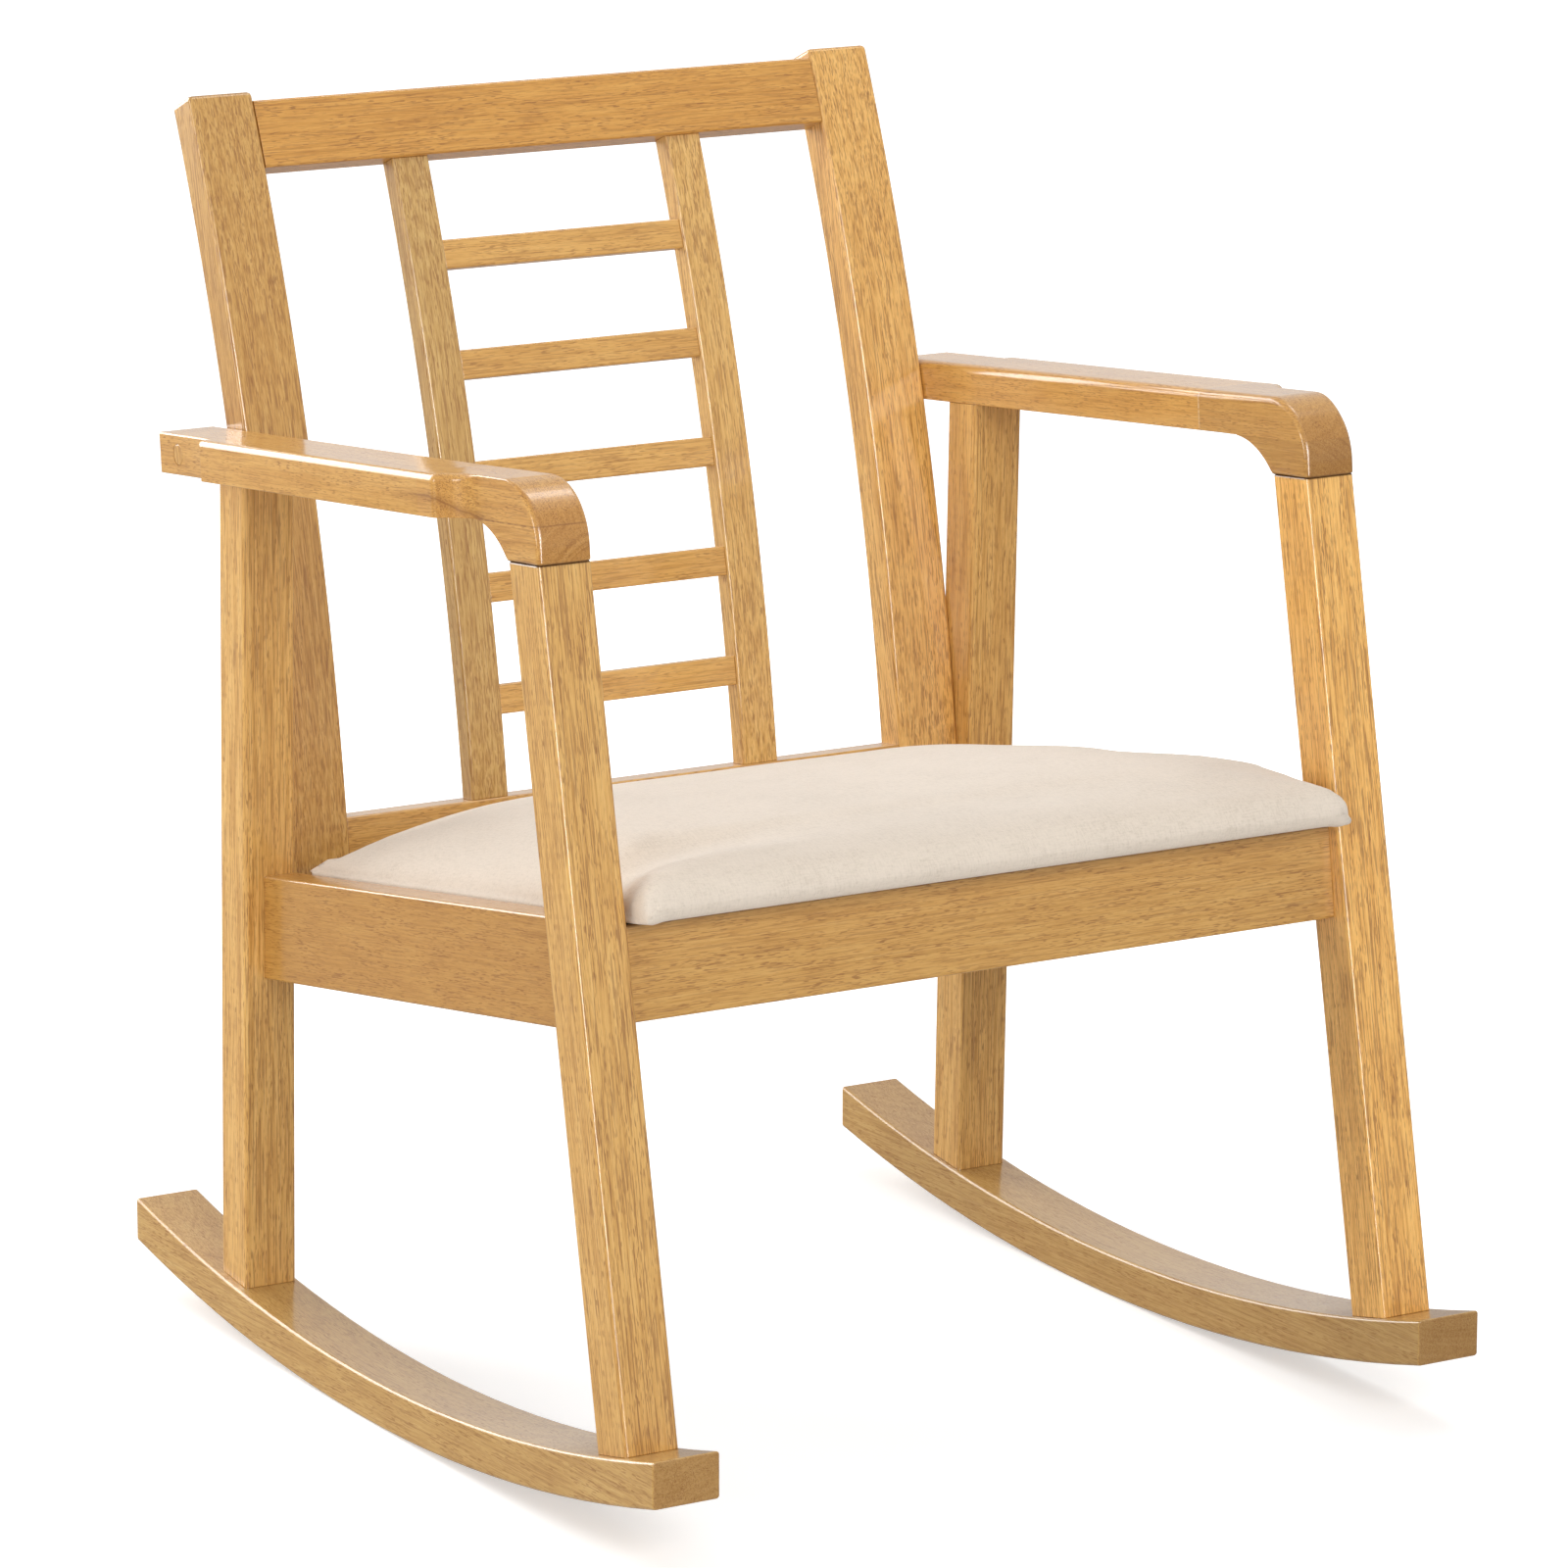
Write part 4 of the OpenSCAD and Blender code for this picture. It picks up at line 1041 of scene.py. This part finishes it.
def linen_material(colours):
    """Plain woven linen: crossing threads with slubs, and a soft mottled tone."""
    material, graph, shader = new_material(
        "linen_cover", roughness=0.92, sheen_weight=0.34, sheen_roughness=0.45, ior=1.35)
    place = seat_place(graph)
    x, v, w = graph.parts(place)
    weft_line = v - w + (graph.noise(place, *WEFT_DRIFT) - 0.5) * THREAD_DRIFT
    warp_line = x + (graph.noise(place, *WARP_DRIFT) - 0.5) * THREAD_DRIFT
    pitch = 2 * math.pi / THREAD_GAP
    threads = (weft_line * pitch).sine() * (warp_line * pitch).sine() * 0.5 + 0.5
    slubs, across = graph.noise(place, *SLUBS), graph.noise(place, *SLUBS_ACROSS)
    lint, clouds = graph.noise(place, *LINT), graph.noise(place, *CLOUDS)
    base = graph.ramp(
        0.62 + (slubs - 0.5) * CLOTH_TONES["slubs"] + (across - 0.5) * CLOTH_TONES["slubs"]
        + (lint - 0.5) * CLOTH_TONES["lint"] + (clouds - 0.5) * CLOTH_TONES["clouds"]
        + (threads - 0.5) * CLOTH_TONES["threads"],
        (0.25, colours.linen_dark), (0.62, colours.linen), (1.0, times(colours.linen, 1.08)))
    feed(graph, shader, base_color=base, normal=graph.bump(
        threads * 0.6 + lint * 0.8 + slubs * 0.5 + across * 0.5, 0.00035, 0.55))
    return material


SWELL_LIFT = 0.9                  # how much of the swell lifts the crown


def make_cushion(sizes, colours):
    """The cushion, made a little lower where the filling will lift it."""
    swell = sizes.swell
    form = cushion_form(sizes.crown - SWELL_LIFT * swell)
    piece = new_piece("seat_cushion", mesh_of(form, "seat_cushion"))
    remesh = piece.modifiers.new("Even cells", "REMESH")
    remesh.mode = "VOXEL"
    remesh.voxel_size = sizes.voxel
    take_mesh(piece)
    fill_cover(piece, sizes.pressure, sizes.swell)
    smooth = piece.modifiers.new("Even cover", "SMOOTH")
    smooth.factor, smooth.iterations = 0.5, 3
    finer = piece.modifiers.new("Finer cover", "SUBSURF")
    finer.levels = finer.render_levels = 1
    take_mesh(piece)
    piece.vertex_groups.clear()
    shape_details(piece)
    piece.data.transform(SEAT)
    piece.data.update()
    for polygon in piece.data.polygons:
        polygon.use_smooth = True
    piece.data.materials.clear()
    piece.data.materials.append(linen_material(colours))
    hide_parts("seat_cover", "seat_foam")
    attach(piece, BODY)


# ---- the underside ----

STAPLE_WIDE, STAPLE_THICK, STAPLE_LEG = 0.0105, 0.0007, 0.0012
STAPLE_BEND, STAPLE_CROWN = 0.0006, 0.0005       # the bent corner's width, the crown's height
STAPLE_INSIDE = (0.88, 0.8)                      # its inner side, as shares of width and thickness


def staple_mesh():
    """The crown of one staple, its ends bent down into the board."""
    bm = bmesh.new()
    half, flat = STAPLE_WIDE / 2, STAPLE_WIDE / 2 - STAPLE_BEND
    profile = [(-half, STAPLE_LEG), (-half, 0), (-flat, -STAPLE_CROWN),
               (flat, -STAPLE_CROWN), (half, 0), (half, STAPLE_LEG)]
    rings = []
    for x, z in profile:
        a, c = x * STAPLE_INSIDE[0], z + STAPLE_THICK * STAPLE_INSIDE[1]
        y = STAPLE_THICK / 2
        rings.append([bm.verts.new(point) for point in ((x, -y, z), (x, y, z),
                                                        (a, y, c), (a, -y, c))])
    for one, two in zip(rings, rings[1:]):
        for k in range(4):
            bm.faces.new((one[k], one[(k + 1) % 4], two[(k + 1) % 4], two[k]))
    bm.faces.new(rings[0][::-1])
    bm.faces.new(rings[-1])
    bmesh.ops.recalc_face_normals(bm, faces=bm.faces)
    return bm


def staple_tree(staple, material):
    """Geometry nodes that set a staple every gap along a closed curve, in line with it."""
    tree = bpy.data.node_groups.new("Staples along an edge", "GeometryNodeTree")
    for name, way, kind in (("Geometry", "INPUT", "Geometry"), ("Gap", "INPUT", "Float"),
                            ("Slant", "INPUT", "Float"), ("Geometry", "OUTPUT", "Geometry")):
        tree.interface.new_socket(name, in_out=way, socket_type="NodeSocket" + kind)
    graph = Graph(tree)
    given = graph.node("NodeGroupInput")
    line, gap, slant = [graph.out(given, key) for key in ("Geometry", "Gap", "Slant")]
    points = graph.node("GeometryNodeCurveToPoints", {"mode": "LENGTH"},
                        {"Curve": line, "Length": gap})
    model = graph.value("GeometryNodeObjectInfo", None, {"Object": staple}, "Geometry")
    wobble = graph.value("FunctionNodeRandomValue", {"data_type": "FLOAT"}, {
        "Min": slant * -1.0, "Max": slant, "Seed": 4}, 1)
    square = graph.value("FunctionNodeAlignRotationToVector", {"axis": "X"}, {
        "Vector": graph.out(points, "Tangent")})
    twist = graph.value("FunctionNodeAxisAngleToRotation", None, {
        "Axis": (0, 0, 1), "Angle": wobble})
    turned = graph.value("FunctionNodeRotateRotation", {"rotation_space": "LOCAL"}, {
        0: square, 1: twist})
    placed = graph.value("GeometryNodeInstanceOnPoints", None, {
        "Points": graph.out(points), "Instance": model, "Rotation": turned})
    real = graph.value("GeometryNodeRealizeInstances", None, {0: placed})
    dressed = graph.value("GeometryNodeSetMaterial", None, {
        "Geometry": real, "Material": material})
    graph.node("NodeGroupOutput", None, {0: dressed})
    return tree


def edge_loop_curve(name, inset):
    """A closed curve under the seat, inset from the cushion's edge."""
    front, back, side = NOSE_V + FRONT_TURN + inset, BACK_V - inset, HALF_X - inset
    corner, steps = 0.012, 4
    loop = []
    for quarter, (x, v) in enumerate(((side, back), (-side, back), (-side, front),
                                      (side, front))):
        mid_x, mid_v = x - math.copysign(corner, x), v - math.copysign(corner, v)
        for k in range(steps + 1):
            a = math.radians(90 * quarter + 90 * k / steps)
            loop.append((mid_x + corner * math.cos(a), mid_v + corner * math.sin(a), 0, 1))
    curve = bpy.data.curves.new(name, "CURVE")
    curve.dimensions = "3D"
    spline = curve.splines.new("POLY")
    spline.points.add(len(loop) - 1)
    for point, place in zip(spline.points, loop):
        point.co = place
    spline.use_cyclic_u = True
    return curve


STAPLE_SLANT = 0.10              # how far a staple may stand askew, as an angle
COVER_ROW, DUST_ROW = 0.014, 0.037               # the rows' insets from the cushion's edge
DUST_THICK = 0.0004


def staple_row(name, inset, height, sizes, material):
    """Staples along one line under the seat."""
    staple = new_piece("staple_model", mesh_of(staple_mesh(), "staple"))
    row = new_piece(name + "_line", edge_loop_curve(name + "_line", inset))
    tree = staple_tree(staple, material)
    modifier = row.modifiers.new("Staples", "NODES")
    modifier.node_group = tree
    keys = {item.name: item.identifier for item in tree.interface.items_tree
            if item.item_type == "SOCKET" and item.in_out == "INPUT"}
    modifier[keys["Gap"]] = sizes.staple_gap
    modifier[keys["Slant"]] = STAPLE_SLANT
    mesh = evaluated_mesh(row)
    mesh.name = name
    mesh.transform(SEAT @ Matrix.Translation((0, 0, height)))
    for thing in (row, staple):
        bpy.data.objects.remove(thing)
    piece = new_piece(name, mesh)
    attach(piece, BODY)


def dust_material(colours):
    """Thin bonded cloth: matted fibres in dark grey."""
    material, graph, shader = new_material("dust_cloth", roughness=0.95)
    place = seat_place(graph)
    fibres = graph.noise(place, (900, 260, 400), 3.0)
    cross = graph.noise(place, (240, 900, 400), 3.0)
    dots = graph.step(graph.noise(place, (500, 500, 500), 0.0), 0.62, 0.75)
    dark = colours.dust_cloth
    base = graph.mix(fibres * 0.5 + cross * 0.5, dark, times(dark, 2.6))
    base = graph.mix(dots * 0.5, base, times(dark, 0.5))
    feed(graph, shader, base_color=base,
         normal=graph.bump(fibres + cross - dots, 0.0003, 0.6))
    return material


def metal_material(name, tint, rough):
    """Plated steel with a faint uneven plating."""
    material, graph, shader = new_material(name, metallic=1.0)
    cloud = graph.noise(object_place(graph), (420, 420, 420), 3.0)
    feed(graph, shader, base_color=graph.mix(cloud, times(tint, 0.8), tint),
         roughness=rough + (cloud - 0.5) * 0.25, normal=graph.bump(cloud, 0.00005, 0.4))
    return material


def dowel_material(colours):
    """Turned beech: short dark flecks in a pale ground."""
    material, graph, shader = new_material("dowel_wood", roughness=0.6)
    place = object_place(graph)
    fibres = graph.noise(place, (700, 700, 700), 3.0)
    flecks = graph.step(graph.noise(place, (1500, 1500, 500), 0.0), 0.6, 0.72)
    base = graph.mix(fibres, times(colours.beech, 0.78), colours.beech)
    base = graph.mix(flecks * 0.5, base, times(colours.beech, 0.5))
    feed(graph, shader, base_color=base, normal=graph.bump(fibres - flecks, 0.0001, 0.4))
    return material


PLY = 0.0034                     # thickness of two plies


def plywood_material(colours):
    """The seat board: rotary-cut face veneer, and plies that alternate along its edges."""
    material, graph, shader = new_material("plywood", roughness=0.7)
    place = seat_place(graph)
    plies = graph.step((graph.parts(place)[2] * (2 * math.pi / PLY)).sine(), -0.3, 0.3)
    figure = graph.noise(place, (6, 90, 300), 3.0)
    base = graph.mix(figure, times(colours.beech, 0.7), colours.beech)
    base = graph.mix(plies * 0.35, base, times(colours.beech, 0.55))
    feed(graph, shader, base_color=base, normal=graph.bump(figure, 0.0002, 0.3))
    return material


def paint(material, *nodes):
    """Gives nodes that stay their own material."""
    for node in nodes:
        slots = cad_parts[node].data.materials
        if len(slots):
            slots[0] = material
        else:
            slots.append(material)


PLUG_RIM, PLUG_STEPS, PLUG_FACE = 0.0007, 3, 8   # roundness of the rim; a face has more corners
PLUG = Board("hidden", Vector((0, 0.25, 0.97)).normalized(), 0.93, 0.6, (0.02, 0.03),
             0.8, 1.0, 0.9)


def round_plugs(colours):
    """The plugs in the arms, with a softened rim, so that a fine ring shows round them."""
    bm = bmesh.new()
    bm.from_mesh(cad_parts["arm_plugs"].data)
    join_faces(bm)
    bmesh.ops.bevel(bm, geom=sharp_edges(bm), offset=PLUG_RIM, segments=PLUG_STEPS, profile=0.5,
                    affect="EDGES", clamp_overlap=True)
    for face in bm.faces:
        face.smooth = len(face.verts) < PLUG_FACE
    piece = new_piece("arm_plug_caps", mesh_of(bm, "arm_plug_caps"))
    piece.data.materials.append(board_material("arm_plugs", PLUG, colours))
    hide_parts("arm_plugs")
    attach(piece, BODY)


def dress_boards(nodes, scene):
    for node in nodes:
        dress(node, scene.chair_edges, scene.chair_colours)


# ---- operators, one for each group of pieces ----


class CHAIR_OT_side_frames(bpy.types.Operator):
    """Round and grain the legs, side rails and rockers"""
    bl_idname = "chair.side_frames"
    bl_label = "Side frames"

    def execute(self, context):
        dress_boards(SIDE_FRAMES, context.scene)
        return {"FINISHED"}


class CHAIR_OT_arms(bpy.types.Operator):
    """Round and grain the arms, their noses, elbow blocks and plugs"""
    bl_idname = "chair.arms"
    bl_label = "Arms"

    def execute(self, context):
        dress_boards(ARMS, context.scene)
        round_plugs(context.scene.chair_colours)
        return {"FINISHED"}


class CHAIR_OT_back(bpy.types.Operator):
    """Round and grain the posts, rails, stiles and slats of the back"""
    bl_idname = "chair.back"
    bl_label = "Back"

    def execute(self, context):
        dress_boards(BACK, context.scene)
        return {"FINISHED"}


class CHAIR_OT_seat_frame(bpy.types.Operator):
    """Round and grain the front rail, cleats and corner blocks, and finish the seat board"""
    bl_idname = "chair.seat_frame"
    bl_label = "Seat frame"

    def execute(self, context):
        dress_boards(SEAT_FRAME, context.scene)
        paint(plywood_material(context.scene.chair_colours), "seat_board")
        return {"FINISHED"}


class CHAIR_OT_cushion(bpy.types.Operator):
    """Make and fill the linen cushion"""
    bl_idname = "chair.cushion"
    bl_label = "Cushion"

    def execute(self, context):
        make_cushion(context.scene.chair_cushion, context.scene.chair_colours)
        return {"FINISHED"}


class CHAIR_OT_underside(bpy.types.Operator):
    """Finish the dust cloth and staple it and the cover"""
    bl_idname = "chair.underside"
    bl_label = "Underside"

    def execute(self, context):
        sizes, colours = context.scene.chair_cushion, context.scene.chair_colours
        paint(dust_material(colours), "dust_cover")
        wire = metal_material("staple_wire", colours.zinc, 0.35)
        staple_row("cover_staples", COVER_ROW, BOTTOM, sizes, wire)
        staple_row("dust_cover_staples", DUST_ROW, BOTTOM + DUST_THICK, sizes, wire)
        return {"FINISHED"}


class CHAIR_OT_fastenings(bpy.types.Operator):
    """Finish the dowels, bolts, inserts and screws"""
    bl_idname = "chair.fastenings"
    bl_label = "Fastenings"

    def execute(self, context):
        colours = context.scene.chair_colours
        paint(dowel_material(colours),
              "frame_dowels", "arm_dowels", "front_rail_dowels", "back_dowels")
        paint(metal_material("zinc_plate", colours.zinc, 0.38),
              "cleat_screws", "seat_screws", "block_screws")
        paint(metal_material("dark_plate", colours.black_steel, 0.42),
              "arm_bolts", "post_bolts", "threaded_inserts")
        return {"FINISHED"}


# Lamps: where they stand, what they point at, their width and height, which of the studio's
# powers they take and what share of it. The edge lamp shows only in gloss.
MIDDLE, LEFT_ELBOW = (0, 0, 0.42), (-0.30, -0.19, 0.66)
LAMPS = {
    "key_lamp": ((-4.25, 0.15, 1.30), MIDDLE, (1.1, 1.7), "key", 1.0),
    "fill_lamp": ((-0.9, -4.4, 2.5), MIDDLE, (2.0, 1.6), "fill", 1.0),
    "top_lamp": ((0.3, -0.2, 3.4), MIDDLE, (2.6, 2.6), "top", 1.0),
    "rear_lamp": ((-1.1, 2.6, 1.45), (-0.33, -0.05, 0.66), (1.75, 1.75), "rear", 1.0),
    "near_lamp": ((0.69, 0.11, 2.40), LEFT_ELBOW, (0.42, 0.50), "near", 0.40),
    "near_soft_lamp": ((0.72, 0.16, 2.45), LEFT_ELBOW, (1.1, 1.0), "near", 0.65),
    "edge_lamp": ((-1.60, -3.75, 1.42), (-0.2, -0.1, 0.75), (1.1, 2.4), "gloss", 1.0),
}
WHITE = (1, 1, 1, 1)
FLOOR_RADIUS, FLOOR_SIDES = 30.0, 96
GLOW_NEAR, GLOW_FAR, GLOW_RANGE = 0.45, 0.40, (0.5, 2.2)     # how white the floor looks
ROOM_REFLECTED = 0.85
CAMERA_PLACE, CAMERA_SENSOR = (-2.5292, -4.28895, 1.5793), 36.0
CAMERA_DOWN, CAMERA_TURN = math.radians(13.124), math.radians(-30.512)


def aimed_lamp(name, studio):
    """A soft lamp that points at its target."""
    location, target, size, source, share = LAMPS[name]
    lamp = bpy.data.lights.new(name, "AREA")
    lamp.shape, lamp.energy = "RECTANGLE", share * getattr(studio, source)
    lamp.size, lamp.size_y = size
    thing = new_piece(name, lamp)
    thing.location = location
    thing.rotation_euler = (Vector(target) - Vector(location)).to_track_quat("-Z", "Y").to_euler()
    thing.visible_diffuse = source != "gloss"


def ray_kinds(graph):
    """1 for the camera's rays, then 1 for rays by way of gloss or clear glass."""
    path = graph.node("ShaderNodeLightPath")
    camera, gloss, glass = [graph.out(path, "Is " + kind + " Ray")
                            for kind in ("Camera", "Glossy", "Transmission")]
    return camera, gloss.larger(glass)


def pale_floor(studio):
    """A floor that takes the chair's shadow and looks white around it."""
    bm = bmesh.new()
    bmesh.ops.create_circle(bm, cap_ends=True, radius=FLOOR_RADIUS, segments=FLOOR_SIDES)
    floor = new_piece("floor", mesh_of(bm, "floor"))
    material, graph, shader = new_material("pale_floor", roughness=0.9, specular_ior_level=0.0)
    place = object_place(graph)
    speck = graph.noise(place, (3, 3, 3), 2.0)
    feed(graph, shader, base_color=graph.mix(speck, (0.80, 0.80, 0.80), (0.83, 0.83, 0.83)))
    camera_ray, gloss_ray = ray_kinds(graph)
    far = graph.vector_math("LENGTH", place, key="Value")
    glow = graph.value("ShaderNodeEmission", None, {
        "Color": WHITE,
        "Strength": camera_ray * (GLOW_NEAR + GLOW_FAR * graph.step(far, *GLOW_RANGE))})
    seen = graph.value("ShaderNodeAddShader", None, {0: Socket(graph, shader.outputs[0]), 1: glow})
    mirrored = graph.value("ShaderNodeEmission", None, {
        "Color": WHITE, "Strength": studio.reflected})
    either = graph.value("ShaderNodeMixShader", None, {0: gloss_ray, 1: seen, 2: mirrored})
    graph.tree.links.new(either.socket, graph.tree.nodes["Material Output"].inputs["Surface"])
    floor.data.materials.append(material)


def even_room(studio):
    """Even light, white to the camera."""
    world = bpy.data.worlds.new("room")
    world.use_nodes = True
    room = Graph(world.node_tree)
    camera_ray, gloss_ray = ray_kinds(room)
    strength = studio.ambient + camera_ray * (1.0 - studio.ambient) \
        + gloss_ray * (ROOM_REFLECTED - studio.ambient)
    back = world.node_tree.nodes["Background"]
    back.inputs["Color"].default_value = WHITE
    room.tree.links.new(strength.socket, back.inputs["Strength"])
    return world


def make_camera(studio):
    camera = bpy.data.cameras.new("camera")
    camera.lens, camera.sensor_width = studio.lens, CAMERA_SENSOR
    thing = new_piece("camera", camera)
    thing.location = CAMERA_PLACE
    thing.rotation_euler = (math.pi / 2 - CAMERA_DOWN, 0, CAMERA_TURN)
    return thing


class CHAIR_OT_studio(bpy.types.Operator):
    """Make the pale floor, soft lamps, room light and camera"""
    bl_idname = "chair.studio"
    bl_label = "Studio"

    def execute(self, context):
        scene, studio = context.scene, context.scene.chair_studio
        pale_floor(studio)
        scene.world = even_room(studio)
        for name in LAMPS:
            aimed_lamp(name, studio)
        scene.camera = make_camera(studio)
        scene.view_settings.view_transform = "Standard"
        return {"FINISHED"}


OPERATORS = [CHAIR_OT_side_frames, CHAIR_OT_arms, CHAIR_OT_back, CHAIR_OT_seat_frame,
             CHAIR_OT_cushion, CHAIR_OT_underside, CHAIR_OT_fastenings, CHAIR_OT_studio]


class CHAIR_PT_panel(bpy.types.Panel):
    """Lists the chair's sizes, colours and pieces"""
    bl_idname = "CHAIR_PT_panel"
    bl_label = "Rocking chair"
    bl_space_type = "VIEW_3D"
    bl_region_type = "UI"
    bl_category = "Chair"

    def draw(self, context):
        for group in ("chair_edges", "chair_colours", "chair_cushion", "chair_studio"):
            values = getattr(context.scene, group)
            box = self.layout.box()
            for name in values.__annotations__:
                box.prop(values, name)
        for operator in OPERATORS:
            self.layout.operator(operator.bl_idname)


GROUPS = {"chair_edges": ChairEdges, "chair_colours": ChairColours,
          "chair_cushion": ChairCushion, "chair_studio": ChairStudio}
CLASSES = [*GROUPS.values(), *OPERATORS, CHAIR_PT_panel]


def register():
    for kind in CLASSES:
        bpy.utils.register_class(kind)
    for name, kind in GROUPS.items():
        setattr(bpy.types.Scene, name, PointerProperty(type=kind))


def unregister():
    for name in GROUPS:
        delattr(bpy.types.Scene, name)
    for kind in reversed(CLASSES):
        bpy.utils.unregister_class(kind)


def main():
    """Makes the stage and the chair."""
    register()
    bpy.ops.chair.studio()
    bpy.ops.chair.side_frames()
    bpy.ops.chair.arms()
    bpy.ops.chair.back()
    bpy.ops.chair.seat_frame()
    bpy.ops.chair.cushion()
    bpy.ops.chair.underside()
    bpy.ops.chair.fastenings()


if __name__ == "__main__":
    main()
